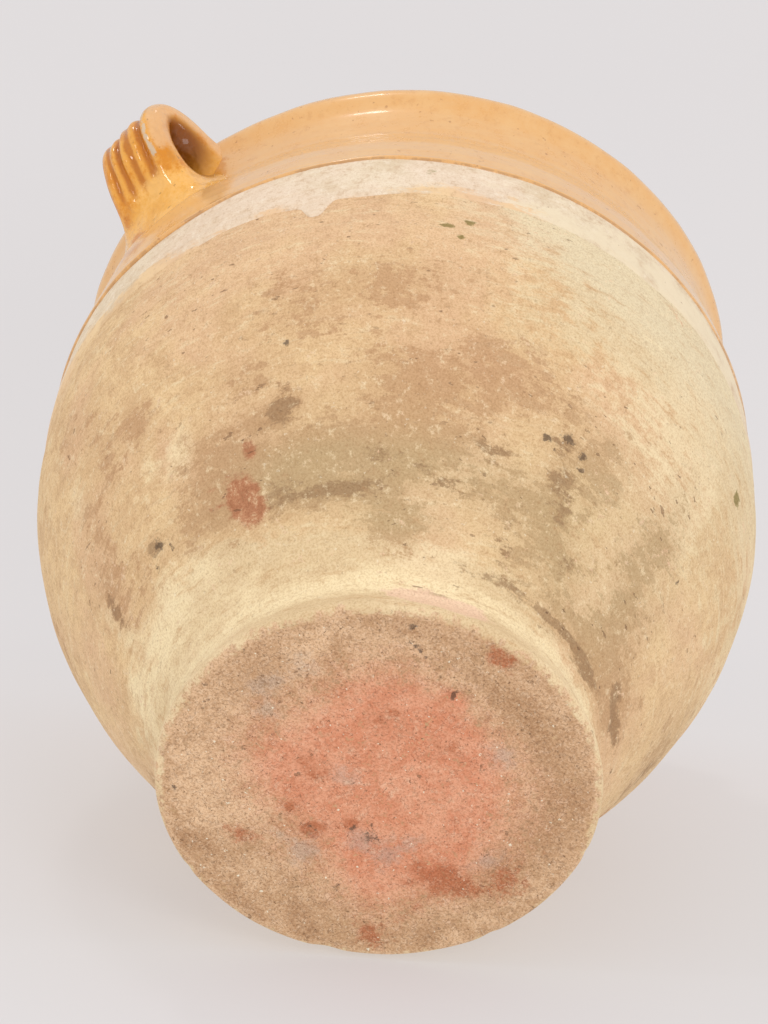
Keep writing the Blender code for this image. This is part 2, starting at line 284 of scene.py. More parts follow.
WALL_MARKS = {
    "brown": [
        (206, 69, 36, 13, 1.0), (189, 72, 14, 16, 1.2), (213, 57, 24, 6, 1.3), (199, 87, 9, 5, 0.8),
        (205, 90, 7, 5, 0.9), (233, 72, 28, 13, 0.65), (243, 103, 28, 14, 0.85), (226, 94, 24, 16, 0.7),
        (221, 136, 42, 15, 0.6), (208, 122, 18, 10, 0.35), (226, 44, 13, 8, 1.0), (198, 105, 16, 9, 0.5),
        (166, 116, 9, 18, 0.5), (157, 96, 8, 18, 0.45), (150, 76, 10, 16, 0.55), (175, 112, 9, 12, 0.7),
        (179, 62, 10, 7, 0.5), (160, 58, 10, 8, 0.35), (258, 76, 8, 15, 0.7), (250, 60, 20, 10, 0.5),
        (263, 52, 14, 16, 0.65), (271, 42, 16, 12, 0.3), (289, 46, 11, 9, 0.85), (286, 36, 9, 6, 0.7),
        (285, 59, 8, 6, 0.6), (295, 36, 8, 5, 0.8), (307, 34, 8, 5, 0.6), (163, 69, 6, 5, 0.5),
        (286, 34, 24, 7, 0.5), (305, 42, 24, 12, 0.6), (266, 92, 15, 13, 0.55), (284, 88, 10, 24, 0.5),
        (283, 72, 12, 14, 0.4), (294, 64, 10, 18, 0.4), (160, 140, 14, 12, 0.4), (60, 90, 40, 26, 0.6),
        (20, 120, 32, 18, 0.55), (340, 84, 36, 20, 0.6), (95, 60, 28, 12, 0.7), (115, 125, 30, 22, 0.4),
        (35, 48, 34, 10, 0.6), (352, 150, 26, 16, 0.35), (78, 150, 24, 14, 0.3),
    ],
    "deep": [
        (213, 56, 20, 4, 0.8), (204, 89, 8, 6, 0.85), (168, 68, 6, 3, 0.9), (199, 60, 12, 6, 0.5),
        (236, 60, 12, 6, 0.4), (222, 66, 16, 4, 0.45), (243, 74, 10, 5, 0.4), (149, 70, 4, 8, 0.5),
        (258, 77, 6, 8, 0.7), (255, 88, 10, 3, 0.5), (310, 39, 14, 3, 1.0), (302, 42, 4, 2, 1.0),
        (276, 33, 40, 2, 0.8), (238, 19, 9, 1.2, 0.8), (290, 30, 14, 3, 0.5), (262, 64, 4, 12, 0.35),
        (268, 50, 4, 12, 0.35), (252, 50, 4, 10, 0.3), (95, 60, 16, 5, 0.6), (30, 118, 14, 6, 0.5),
        (345, 80, 18, 8, 0.5),
    ],
    "olive": [
        (270, 60, 44, 44, 1.0), (290, 120, 40, 60, 0.8), (212, 64, 34, 10, 0.8), (226, 46, 22, 8, 0.7),
        (240, 66, 30, 12, 0.6), (205, 60, 60, 40, 0.5), (80, 70, 60, 40, 0.7), (340, 100, 40, 40, 0.5),
    ],
    "red": [
        (193, 59, 8, 10, 1.0), (187, 72, 9, 13, 0.33), (196, 78, 4, 4, 0.7), (164, 40, 8, 3, 0.3),
        (64, 84, 8, 6, 0.7), (352, 76, 6, 5, 0.6),
    ],
    "pale": [
        (285, 160, 70, 46, 1.0), (262, 170, 36, 36, 0.7), (240, 28, 60, 8, 0.6), (205, 32, 60, 12, 0.8),
        (170, 30, 50, 14, 0.8), (182, 46, 20, 8, 0.6), (245, 130, 20, 20, 0.35), (280, 100, 30, 14, 0.35),
        (330, 150, 60, 40, 0.7), (20, 40, 60, 14, 0.6), (60, 170, 60, 24, 0.5), (110, 36, 50, 14, 0.7),
        (140, 170, 30, 26, 0.35), (300, 20, 60, 8, 0.5),
    ],
    "cream": [
        (284, 192, 80, 44, 1.0), (262, 184, 40, 30, 0.7), (250, 200, 30, 20, 0.5), (110, 185, 50, 30, 0.6),
    ],
    # The waist rows are a painted highlight: bright patches low on the wall and round the foot's waist.
    "waist": [
        (148, 42, 26, 12, 0.6), (162, 42, 16, 10, 0.6), (166, 52, 9, 7, 0.6), (178, 52, 10, 8, 0.55),
        (175, 92, 7, 7, 0.4), (156, 112, 7, 9, 0.5), (186, 32, 16, 7, 0.35), (182, 89, 8, 9, 0.6),
        (147, 57, 6, 6, 0.5), (135, 47, 10, 8, 0.6), (146, 71, 5, 6, 0.5),
    ],
    "pink": [
        (240, 12, 14, 6, 1.0), (232, 15, 10, 5, 0.8), (248, 14, 8, 6, 0.7), (70, 9, 12, 6, 0.7),
    ],
    "green": [
        (234.5, 177, 2.6, 1.8, 1.0), (231, 172, 3.4, 1.6, 1.0), (233.2, 165, 1.6, 1.6, 0.9),
        (296.6, 140, 3.2, 3.4, 1.0), (228, 214, 2.0, 3.0, 0.5),
    ],
    "dark": [
        (257.5, 91, 2.6, 1.6, 1.0), (253.4, 87, 2.0, 1.6, 1.0), (261.5, 88, 1.6, 1.4, 0.8),
        (255.5, 85, 1.2, 1.2, 0.8), (259.5, 90, 1.5, 1.0, 0.7), (262.0, 83, 1.6, 1.0, 0.6),
        (206, 113, 1.4, 1.2, 0.7), (203, 116, 1.2, 1.2, 0.6), (169, 67, 3.4, 2.0, 0.6),
        (166, 61, 2.4, 1.4, 0.6), (172, 63, 1.2, 3.4, 0.5), (294.5, 86, 1.2, 1.2, 0.7),
    ],
}

# Marks that are flatter in the middle than a bell.
FLATNESS = {"red": 3.0}

# Marks on the glaze, in rows as on the wall.

GLAZE_MARKS = {
    "pool": [
        (187, 270, 8, 12, 1.0), (174, 230, 10, 7, 0.8), (180, 268, 15, 8, 1.0), (168, 256, 8, 8, 0.5),
        (353, 270, 8, 12, 1.0), (4, 230, 10, 7, 0.7), (0, 268, 15, 8, 1.0), (10, 256, 8, 8, 0.5),
    ],
    "gold": [
        (172, 236, 38, 22, 1.0), (354, 236, 38, 22, 1.0),
    ],
    "lean": [
        (298, 235, 50, 40, 1.0), (110, 240, 50, 40, 0.7),
    ],
}

# Marks on the base. Each row is x, y, half width, half height, lean in degrees, strength.

BASE_MARKS = {
    "ember": [
        (-6, 6, 38, 32, 20, 1.0), (12, -14, 34, 26, -20, 1.0), (-24, -26, 22, 22, 30, 0.8),
        (32, 8, 24, 22, 20, 1.0), (0, -38, 22, 12, 0, 0.6), (30, 34, 20, 12, 30, 0.5),
        (-30, 20, 18, 14, 0, 0.5), (-12, -51, 5, 3, 0, 0.9),
    ],
    "ember_deep": [
        (50, 12, 15, 8, -20, 1.0), (-2, 34, 5, 5, 0, 1.0), (-16, 32, 4, 4, 0, 0.8),
        (-22, -24, 12, 8, 0, 0.4), (6, 21, 4, 4, 0, 0.7), (-24, 12, 8, 6, 0, 0.4),
        (-17, 56, 7, 4, -20, 0.7), (52, 54, 9, 5, 0, 0.9), (68, -8, 6, 14, -20, 0.6),
        (54, 32, 4, 12, 0, 0.5), (-18, -78, 9, 5, 0, 0.9), (2, -32, 12, 6, 0, 0.3),
    ],
    "base_brown": [
        (-30, 74, 18, 6, -20, 0.8), (35, 72, 24, 6, 25, 0.8), (5, 80, 20, 4, 0, 0.7),
        (70, 40, 6, 14, -30, 0.8), (-52, -66, 16, 8, -50, 0.4), (-20, -80, 24, 5, -10, 0.45),
        (60, -30, 12, 16, 20, 0.6), (62, -5, 10, 14, 10, 0.7), (-72, -8, 10, 20, 0, 0.4),
        (30, -60, 30, 10, 20, 0.5), (45, 60, 20, 10, 30, 0.5), (0, -66, 30, 6, 0, 0.5),
        (53, -51, 8, 10, 0, 0.5), (58, 48, 6, 10, 0, 0.5),
    ],
    "cream": [
        (-73, 28, 9, 12, 20, 0.8), (-60, 44, 10, 12, 0, 0.7), (-42, 54, 12, 14, 0, 0.8),
        (-66, -26, 8, 12, 0, 0.8), (-28, 41, 9, 10, 0, 0.5),
    ],
    "ash": [
        (4, 43, 6, 6, 0, 1.0), (16, 24, 6, 5, 0, 1.0), (27, 20, 5, 7, 0, 0.9), (-8, 44, 5, 3, 0, 0.5),
        (-65, -3, 6, 8, 0, 0.6), (-56, 6, 5, 5, 0, 0.6), (20, -45, 6, 5, 0, 0.5), (-12, 5, 6, 5, 0, 0.4),
        (55, -6, 3, 10, 10, 0.4), (29, 10, 4, 5, 0, 0.5), (-62, -20, 6, 5, 0, 0.4),
    ],
    "dark": [
        (-48, -63, 1.5, 1.3, 0, 0.9), (-51, -66, 1.2, 0.9, 0, 0.7), (18, 19, 4, 2, -20, 0.7),
        (12, 15, 2, 2, 0, 0.7), (-3, 33, 2, 2, 0, 0.7), (26, 47, 1.6, 1.6, 0, 0.9),
        (-14, -52, 1.0, 3.0, -20, 0.9), (8, 21, 1.4, 1.4, 0, 0.7), (-82, -7, 1.2, 1.2, 0, 0.8),
        (-52, 59, 1.4, 1.2, 0, 0.5), (-35, -57, 14, 0.8, 4, 0.5), (5, -55, 9, 0.6, 10, 0.4),
    ],
}


def ovals(turn, height, radius, marks, flatness=2.0):
    """Sum of soft ovals on the wall, each a bell of the distance in its half widths and half heights."""
    total = np.zeros(np.broadcast(turn, height).shape)
    for degrees, middle, half_width, half_height, strength in marks:
        aside = aside_of(turn, degrees) * radius * 1000.0 / half_width
        above = (height * 1000.0 - middle) / half_height
        total = total + strength * np.exp(-((aside**2 + above**2) ** (flatness / 2.0)))
    return np.clip(total, 0.0, 1.0)


def base_ovals(x, y, marks):
    """Sum of soft ovals on the base, each leaned by an angle and a bell of the distance in its halves."""
    total = np.zeros(x.shape)
    for middle_x, middle_y, half_width, half_height, lean, strength in marks:
        a = np.radians(lean)
        dx, dy = x * 1000.0 - middle_x, y * 1000.0 - middle_y
        aside = (np.cos(a) * dx + np.sin(a) * dy) / half_width
        above = (np.cos(a) * dy - np.sin(a) * dx) / half_height
        total = total + strength * np.exp(-(aside**2 + above**2))
    return np.clip(total, 0.0, 1.0)


# Mesh making

def linked(name, data):
    """A new object of a mesh, lamp or camera, at the origin, in the scene."""
    made = bpy.data.objects.new(name, data)
    bpy.context.scene.collection.objects.link(made)
    return made


def skin(name, grid, fields, poles=False):
    """Closed piece from a grid of points, rows by columns, that wraps round its columns.

    With poles, the first and the last row are one shared point each. Without, the last row joins the first.
    Each field is a value at every grid point, kept as an attribute of its own name.
    """
    rows, columns = grid.shape[:2]
    index = np.arange(rows * columns).reshape(rows, columns)
    lower, upper = index, np.roll(index, -1, axis=0)
    if poles:
        index[[0, -1]] = index[[0, -1], :1]
        lower, upper = index[:-1], index[1:]
    quads = np.stack([lower, np.roll(lower, -1, 1), np.roll(upper, -1, 1), upper], -1).reshape(-1, 4)
    used, packed = np.unique(quads, return_inverse=True)
    quads, points = packed.reshape(-1, 4), grid.reshape(-1, 3)[used]
    corners = points[np.concatenate([quads[:, [0, 1, 2]], quads[:, [0, 2, 3]]])]
    if np.einsum("ij,ij->", corners[:, 0], np.cross(corners[:, 1], corners[:, 2])) < 0:
        quads = quads[:, ::-1]
    keep = quads != np.roll(quads, -1, 1)
    sizes = keep.sum(1)
    mesh = bpy.data.meshes.new(name)
    mesh.vertices.add(len(points))
    mesh.vertices.foreach_set("co", points.astype(np.float32).ravel())
    mesh.loops.add(int(sizes.sum()))
    mesh.loops.foreach_set("vertex_index", quads[keep].astype(np.int32))
    mesh.polygons.add(len(quads))
    mesh.polygons.foreach_set("loop_start", np.r_[0, np.cumsum(sizes)[:-1]].astype(np.int32))
    mesh.update(calc_edges=True)
    mesh.shade_smooth()
    for field, values in fields.items():
        layer = mesh.attributes.new(field, "FLOAT", "POINT")
        values = np.broadcast_to(values, (rows, columns)).reshape(-1)[used]
        layer.data.foreach_set("value", values.astype(np.float32))
    mesh.validate()
    return linked(name, mesh)


def place(piece, node, material):
    """Puts a finished piece on the pot in place of a CAD node."""
    piece.data.materials.append(material)
    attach(piece, "root")
    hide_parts(node)


def turned(turn, radius, height):
    """Points at a turn angle, a radius and a height: radius times its cosine and sine, and the height."""
    turn, radius, height = np.broadcast_arrays(turn, radius, height)
    return np.stack([radius * np.cos(turn), radius * np.sin(turn), height], -1)


# Clay body. Rows of losses are as the wall's marks. A nick's row is turn, half width in degrees, depth.

TURNING_GROOVES = (30.5, 33.0, 35.2)
GOUGES = [(310, 39, 13, 1.6, 1), (305, 42, 6, 1.4, 0.8), (314, 36, 8, 1.2, 0.7)]
POCK_MARK = [(169, 67, 5, 3, 1), (166, 61, 3.4, 2, 0.8), (172, 63, 2, 4, 0.6)]
FLAKES = [(193, 58, 10, 8, 0.3), (240, 13, 15, 5, 0.5), (233, 17, 8, 3, 0.4)]
EDGE_NICKS = [
    (12, 2.0, 0.9), (57, 3.0, 1.4), (103, 1.6, 0.8), (141, 2.4, 1.2), (188, 1.4, 0.7), (214, 2.2, 0.8),
    (243, 3.2, 1.2), (268, 1.5, 0.9), (301, 2.6, 1.5), (334, 1.8, 0.8),
]
GROOVE_DEPTH, GOUGE_DEPTH, POCK_DEPTH, FLAKE_DEPTH = 0.0004, 0.0010, 0.0009, 0.0006
GROOVED_SIDE = (246, 262, 318, 330)
BARED_SIDE = (112, 130, 322, 340)
EDGE_REACH = 0.004
EDGE_WAVES, EDGE_WAVE_DEPTH = ((7, 11, 17), (0.3, 1.9, 4.0), (0.5, 0.4, 0.3)), 0.0002
RINGS_START = (0.024, 0.034)
FOOT_WASH = (0.016, 0.026)
# Height and width of the painted highlight round the waist.
WAIST_HIGHLIGHT_RING = (0.0215, 0.0060)
PIT_COUNT, PIT_REACH, PIT_WIDTHS, PIT_DEPTHS = 170, 0.082, (0.0005, 0.0014), (0.0001, 0.0005)
BASE_STEP, BASE_STEP_DEPTH = (0.0575, 0.0595), 0.00025
BASE_HOLLOW, BASE_HOLLOW_DEPTH = (0.0, 0.075), 0.0005
ROUGH_DEPTH = 0.0001
CRACK_X, CRACK_Y, CRACK_TURN = -0.0085, -0.0505, 3.6
CRACK_RADIUS, CRACK_WIDTH, CRACK_DEPTH = 0.0065, 0.0007, 0.0008

# Finger rings, each with its size, its pitch, and how far its phase follows the slow and the quick drift.
THROWING_RINGS = [(0.00011, 0.0083, 1.0, 0.0), (0.00006, 0.0037, 1.7, 0.8), (0.00020, 0.031, 0.6, 0.0)]


def throwing_rings(turn, height):
    """Finger rings: waves up the wall whose phases drift round the pot."""
    up = 2 * np.pi * height
    slow = 0.9 * np.cos(turn + 0.7) + 0.5 * np.cos(2 * turn + 2.1)
    quick = np.cos(3 * turn)
    total = 0.0
    for size, pitch, by_slow, by_quick in THROWING_RINGS:
        total = total + size * np.sin(up / pitch + by_slow * slow + by_quick * quick)
    return smooth(*RINGS_START, height) * total


def clay_losses(turn, height, radius):
    """Depth that is missing from the wall: grooves above the foot, gouges, a pock mark and flakes."""
    side = between(*GROOVED_SIDE, np.degrees(turn))
    up = height * 1000.0 + 0.6 * np.cos(3 * turn)
    grooves = sum(bell(up, middle, 0.8) for middle in TURNING_GROOVES)
    gouges, pock = (ovals(turn, height, radius, marks) for marks in (GOUGES, POCK_MARK))
    flakes = ovals(turn, height, radius, FLAKES, 4.0)
    return GROOVE_DEPTH * side * grooves + GOUGE_DEPTH * gouges + POCK_DEPTH * pock + FLAKE_DEPTH * flakes


def edge_chips(turn):
    """Depth of the nicks round the base's edge: small waves, and bells at set turns."""
    total = EDGE_WAVE_DEPTH * (1.0 + waves(turn, *EDGE_WAVES))
    for degrees, width, depth in EDGE_NICKS:
        total = total + 0.001 * depth * bell(np.degrees(aside_of(turn, degrees)), 0.0, width)
    return total


def base_relief(x, y):
    """Height that is missing from the flat base: pits, scrapes, a crescent crack and a shallow turned step.

    A pit is a bell of the distance from its middle. The crack is a bell across an arc, eased at its ends.
    """
    spread = np.random.default_rng(7)
    places = spread.uniform(-PIT_REACH, PIT_REACH, (PIT_COUNT, 2))
    widths, depths = (spread.uniform(*ends, PIT_COUNT) for ends in (PIT_WIDTHS, PIT_DEPTHS))
    pits = np.zeros(x.shape)
    for (pit_x, pit_y), width, depth in zip(places, widths, depths):
        pits = np.maximum(pits, depth * bell(np.hypot(x - pit_x, y - pit_y), 0.0, width))
    radius, turn = np.hypot(x, y), np.arctan2(y, x)
    step = BASE_STEP_DEPTH * smooth(*BASE_STEP, radius + 0.001 * np.cos(3 * turn + 1.0))
    crack_x, crack_y = x - CRACK_X, y - CRACK_Y
    crack = CRACK_DEPTH * bell(np.hypot(crack_x, crack_y), CRACK_RADIUS, CRACK_WIDTH)
    crack = crack * smooth(0.1, 0.8, np.cos(np.arctan2(crack_y, crack_x) - CRACK_TURN))
    scraped = smooth(-0.2, 0.8, np.cos(2 * turn - 1.0))
    scrapes = 0.00008 * np.sin(x / 0.0011 + 0.6 * np.sin(y / 0.012)) * scraped
    bumps = np.sin(x / 0.0031 + 1.3 * np.sin(y / 0.0043)) * np.cos(y / 0.0037 + np.sin(x / 0.0051))
    rough = np.maximum(scrapes + 0.00012 * bumps, -ROUGH_DEPTH) + ROUGH_DEPTH
    hollow = BASE_HOLLOW_DEPTH * (1.0 - smooth(*BASE_HOLLOW, radius))
    return pits + step + crack + hollow + rough


def clay_fields(turn, x, y, rim, run, r, z):
    """Values for the clay's colours, as two tables: on the base at x and y, and on the wall at each run."""
    bared_edge = 0.15 + 0.30 * between(*BARED_SIDE, np.degrees(turn))
    on_base = {name: base_ovals(x, y, marks) for name, marks in BASE_MARKS.items()}
    on_base["base"] = 1.0 - bared_edge * rim
    on_wall = {}
    for name, marks in WALL_MARKS.items():
        on_wall[name] = ovals(turn, z, r, marks, FLATNESS.get(name, 2.0))
    on_wall["base"] = (0.98 - bared_edge) * bell(run, 0.0, 0.0038)
    on_wall["pale"] = np.clip(on_wall["pale"] + 0.8 * (1 - smooth(*FOOT_WASH, z)), 0, 1)
    # Painted highlight: a bright band round the waist, on top of the bright patches.
    painted_highlight_ring = bell(z, *WAIST_HIGHLIGHT_RING) * (0.75 + 0.2 * np.cos(3 * turn + 1.0))
    on_wall["waist"] = np.clip(on_wall["waist"] + painted_highlight_ring, 0, 1)
    return on_base, on_wall


def clay_body():
    """Clay from the middle of the base, out and up the wall, over the lip and down the inside to the floor.

    Each outline point is turned round Z and moved along its normal by rings, waves and losses.
    """
    turn = turns(CLAY_COLUMNS)
    base_radius = np.linspace(0.0, FOOT_RADIUS - FOOT_EDGE_ROUND, BASE_ROWS)[:-1, None]
    stops = 0.0, run_at(WAIST_HEIGHT), run_at(COVERED_HEIGHT), CROWN_RUN
    counts = FOOT_ROWS, WALL_ROWS, COVERED_ROWS
    runs = [np.linspace(*ends, count)[:-1] for *ends, count in zip(stops, stops[1:], counts)]
    run = np.r_[(*runs, CROWN_RUN)][:, None]
    inner = inside()
    inner_run = lengths(inner)
    inner = inner - CLAY_INSET * smooth(0.0, 0.010, inner_run)[:, None] * normals(inner)
    inner = respaced(inner, inner_run, INNER_ROWS)[0][1:]
    inner[-1, 0] = 0.0

    r, z, nr, nz = on_outside(run)
    lift = throwing_rings(turn, z) - clay_losses(turn, z, r) - bell(run, 0.0, EDGE_REACH) * edge_chips(turn)
    wall = turned(turn, r + out_of_round(turn, z) + nr * lift, np.maximum(z + nz * lift, 0.0))

    x, y = base_radius * np.cos(turn), base_radius * np.sin(turn)
    rim = bell(base_radius, FOOT_RADIUS, EDGE_REACH)
    base = np.stack([x, y, base_relief(x, y) * (1 - rim) + rim * edge_chips(turn)], -1)
    lining = turned(turn, inner[:, 0, None] + out_of_round(turn, inner[:, 1, None]), inner[:, 1, None])

    on_base, on_wall = clay_fields(turn, x, y, rim, run, r, z)
    fields = {}
    for name in {**on_base, **on_wall}:
        parts = (on_base.get(name, 0.0), base), (on_wall.get(name, 0.0), wall), (0.0, lining)
        fields[name] = np.concatenate([np.broadcast_to(values, rows.shape[:2]) for values, rows in parts])
    piece = skin("clay_body", np.concatenate([base, wall, lining]), fields, poles=True)
    place(piece, "thrown_body", CLAY)


# Coats

DRIP_TURN, DRIP_LENGTH, DRIP_HALF_WIDTH = 210.6, 0.0100, 2.0
DRIP_SIDE_LENGTH, DRIP_SIDE_TURN, DRIP_SIDE_WIDTH = 0.0012, -3.0, 3.0
RUBBED_HEIGHT, CRISP_HEIGHT_CUT = 0.016, 0.012
LINING_FEATHER = 0.006
LINING_POOL, LINING_POOL_HEIGHTS = 0.6, (0.02, 0.06)
LINING_RING_HEIGHTS = (0.018, 0.030, 0.275, 0.285)
SAGS_START = (0.0, 0.03)
CRISP_SLIP = [(211, 184, 10, 14, 1.0), (218, 194, 30, 20, 0.8), (198, 190, 24, 20, 0.8)]
THIN_SLIP = [(275, 205, 60, 20, 0.9), (250, 200, 30, 10, 0.4)]

# Rings inside, each with its size, its pitch and the drift of its phase.
LINING_RINGS = [(0.00025, 0.011, 0.9), (0.00012, 0.0047, 0.0)]

# Waves round the pot, as counts, phases and sizes.
SLIP_EDGE_WAVES = (9, 14, 23, 37), (0.2, 1.4, 2.9, 0.8), (0.0005, 0.0004, 0.0003, 0.0002)
GLAZE_EDGE_WAVES = (5, 8, 13, 29), (1.0, 2.2, 0.5, 1.8), (0.0006, 0.0004, 0.0003, 0.00015)
GLAZE_SAGS = (19, 31, 47), (0.4, 1.1, 2.5), (0.00006, 0.00005, 0.00003)

# Each row is height, rise, and the reaches to the left, right, down and up.
ROOT_MOUNDS = [
    (0.2430, 0.0030, (0.0300, 0.0260, 0.0200, 0.0140)),
    (0.2760, 0.0030, (0.0230, 0.0260, 0.0110, 0.0100)),
]


def slip_edge(turn):
    """Height of the slip's lower edge: a slow lean round the pot, small waves, and one drip."""
    lean = round_the_pot(turn, SLIP_EDGE)
    aside = np.degrees(aside_of(turn, DRIP_TURN))
    drip = DRIP_LENGTH * np.exp(-((np.abs(aside) / DRIP_HALF_WIDTH) ** 3))
    drip = drip + DRIP_SIDE_LENGTH * bell(aside, DRIP_SIDE_TURN, DRIP_SIDE_WIDTH)
    return lean + waves(turn, *SLIP_EDGE_WAVES) - drip


def glaze_edge(turn):
    """Height of the glaze's lower edge: a slow lean round the pot with small waves."""
    return round_the_pot(turn, GLAZE_EDGE) + waves(turn, *GLAZE_EDGE_WAVES)


def slip_wobble(turn, height, above):
    """Brushed slip: faint rings round the pot under slow waves."""
    return 0.6 * throwing_rings(turn, height) + 0.00006 * np.sin(above / 0.0019 + 2 * np.cos(turn * 3))


def root_mounds(turn, height):
    """Clay smoothed out round the ears' roots: a bell whose reach differs to each side, down and up."""
    radius = radius_at(height)
    total = np.zeros(np.broadcast(turn, height).shape)
    for facing in (0.0, 180.0):
        aside = aside_of(turn, facing) * radius
        for middle, rise, (left, right, down, up) in ROOT_MOUNDS:
            sideways = aside / np.where(aside > 0, right, left)
            upward = (height - middle) / np.where(height > middle, up, down)
            total = np.maximum(total, rise * np.exp(-(sideways**4) - upward**2))
    return total


def glaze_wobble(turn, height, above):
    """Run glaze: faint rings, softened, with slow sags down the wall, and the mounds at the ears' roots."""
    sags = waves(turn, *GLAZE_SAGS) * smooth(*SAGS_START, above)
    return 0.35 * throwing_rings(turn, height) + sags + root_mounds(turn, height)


def slip_fields(turn, z, r):
    """Values for the slip's colours: spots, thin places, and a rubbed edge, narrow where it is crisp."""
    crisp = ovals(turn, z, r, CRISP_SLIP)
    low = 1.0 - smooth(0.0, RUBBED_HEIGHT - CRISP_HEIGHT_CUT * crisp, z - slip_edge(turn))
    return {
        "green": ovals(turn, z, r, WALL_MARKS["green"]),
        "thin": ovals(turn, z, r, THIN_SLIP),
        "rubbed": low * (1.0 - 0.8 * crisp) * (1.0 - 0.95 * ovals(turn, z, r, WALL_MARKS["cream"])),
    }


def glaze_fields(turn, z, r):
    """Values for the glaze's colours, each from its list of marks."""
    return {name: ovals(turn, z, r, marks) for name, marks in GLAZE_MARKS.items()}


def coat(name, turn, edge, rows, feather, thickness, under, bead, wobble, fields):
    """Skin of a coat: up from its lower edge, over the lip's crown, and back down along what it covers.

    Its thickness swells from nothing over the feather length, with a bead at its edge, and thins inside.
    """
    share = np.linspace(0.0, 1.0, rows)[:, None] ** ROW_CROWDING
    start = run_at(edge)[None, :]
    run = start + share * (OVER_LIP_RUN[-1] - start)
    r, z, nr, nz = on_outside(run)
    above = run - start
    swell = 1.0 - np.exp(-((above / feather) ** 1.2))
    full = under + thickness * swell + bead * bell(above, BEAD_RISE, BEAD_WIDTH) + wobble(turn, z, above)
    tuck = under - COAT_TUCK
    full = tuck + (full - tuck) * (1.0 - smooth(CROWN_RUN, OVER_LIP_RUN[-1], run))
    wall = r + out_of_round(turn, z)
    outer = turned(turn, wall + nr * full, z + nz * full)
    back_rows = np.linspace(rows - 1, 0, rows // BACK_SKIPS).astype(int)
    back = turned(turn, (wall + nr * tuck)[back_rows], (z + nz * tuck)[back_rows])
    values = {"above_edge": above, **fields(turn, z, r)}
    values = {key: np.concatenate([v, v[back_rows]]) for key, v in values.items()}
    return skin(name, np.concatenate([outer, back]), values)


def slip_band():
    """Cream slip over the upper wall, seen as the band below the glaze."""
    turn = turns(SLIP_COLUMNS)
    layer = SLIP_FEATHER, SLIP_THICKNESS, 0.0, 0.0
    piece = coat("slip_band", turn, slip_edge(turn), SLIP_ROWS, *layer, slip_wobble, slip_fields)
    place(piece, "slip_coat", SLIP)


def honey_coat():
    """Honey glaze outside, from its edge on the slip up and over the lip."""
    turn = turns(GLAZE_COLUMNS)
    layer = GLAZE_FEATHER, GLAZE_THICKNESS, SLIP_THICKNESS, GLAZE_BEAD
    piece = coat("honey_coat", turn, glaze_edge(turn), GLAZE_ROWS, *layer, glaze_wobble, glaze_fields)
    place(piece, "outer_glaze", HONEY)


def glaze_lining():
    """Glaze on the inside, from just over the lip's crown to the floor's middle, on a thin tucked back.

    Each point of the inner outline is turned round Z and moved along its normal by the glaze and its rings.
    """
    turn = turns(LINING_COLUMNS)
    line = inside()
    line, run = respaced(line, lengths(line), LINING_ROWS)
    off = normals(line)
    height = line[:, 1, None]
    up = 2 * np.pi * height
    rings = sum(size * np.sin(up / pitch + drift * np.cos(turn)) for size, pitch, drift in LINING_RINGS)
    rings = rings * between(*LINING_RING_HEIGHTS, height)
    sagged = (LINING_THICKNESS + rings) * smooth(0.0, LINING_FEATHER, run)[:, None]

    def moved(by):
        """Points moved along their normals, with the last row drawn in to the middle of the floor."""
        r = np.maximum(line[:, 0, None] + off[:, 0, None] * by + out_of_round(turn, height), 0.0)
        return turned(turn, r * (run[:, None] < run[-1]), height + off[:, 1, None] * by)
    face, back = moved(sagged), moved(-LINING_TUCK)[::-BACK_SKIPS]
    face[-1] = [0.0, 0.0, FLOOR + LINING_THICKNESS]
    back[0] = [0.0, 0.0, FLOOR - LINING_TUCK]
    above = np.broadcast_to(height + 0.05, rings.shape)
    pool = np.broadcast_to(LINING_POOL * (1 - smooth(*LINING_POOL_HEIGHTS, height)), rings.shape)
    fields = {
        "above_edge": np.concatenate([above, above[::-BACK_SKIPS]]),
        "pool": np.concatenate([pool, np.zeros(back.shape[:2])]),
    }
    piece = skin("glaze_lining", np.concatenate([face, back]), fields)
    place(piece, "inner_glaze", LINING)


# Ears. A root's spread along the wall is to the left, to the right, on the outer face, on the inner face.

TOP_SPREAD = (0.0020, 0.0015, 0.0, 0.0120)
FOOT_SPREAD = (0.0070, 0.0080, 0.0190, 0.0150)
SPREAD_FALL = 0.0075
HEM = 0.0040
HEM_FALL = 0.0014

# Shares of the strap's length between which something eases in or out.
TOP_ENDS, FOOT_STARTS = (0.30, 0.50), (0.50, 0.70)
UNDERFILL_ENDS = (0.45, 0.80)
FACE_STARTS, GROOVES_END = (0.54, 0.66), (0.62, 0.84)

# Unevenness of the strap, in metres, with the shares across and along it where it lies.
TOP_FLARE, TOP_FLARE_FALL = 0.0012, 0.0040
MIDDLE_NARROWS = 0.0010
THUMBED, THUMBED_FINE, THINNED = 0.0006, 0.00035, 0.0007
PROUD_EDGE, PROUD_ACROSS, PROUD_ALONG = 0.0016, (0.15, 0.5), (0.05, 0.3, 0.6, 0.9)
EAR_WANDER, EAR_LEAN = 0.0005, 0.0045
# Reach of the painted light on the strap's underside near the wall.
PAINTED_LIGHT_REACH, PAINTED_LIGHT_REACH_CUT = 0.0070, 0.0040
WORN_RIDGE, WORN_WIDTH, WORN_ALONG = 0.60, 0.06, (0.36, 0.44, 0.66, 0.74)


def ear_line():
    """Middle of the strap as (radius, height): a cubic from its root in the neck, out and down again."""
    heights = EAR_TOP_HEIGHT, EAR_FOOT_HEIGHT
    top, foot = (np.array([radius_at(h) - EAR_ROOT_DEPTH, h]) for h in heights)
    line = bend(top, top + EAR_TOP_PULL, foot + EAR_FOOT_PULL, foot, 400)
    return respaced(line, lengths(line), EAR_ROWS)


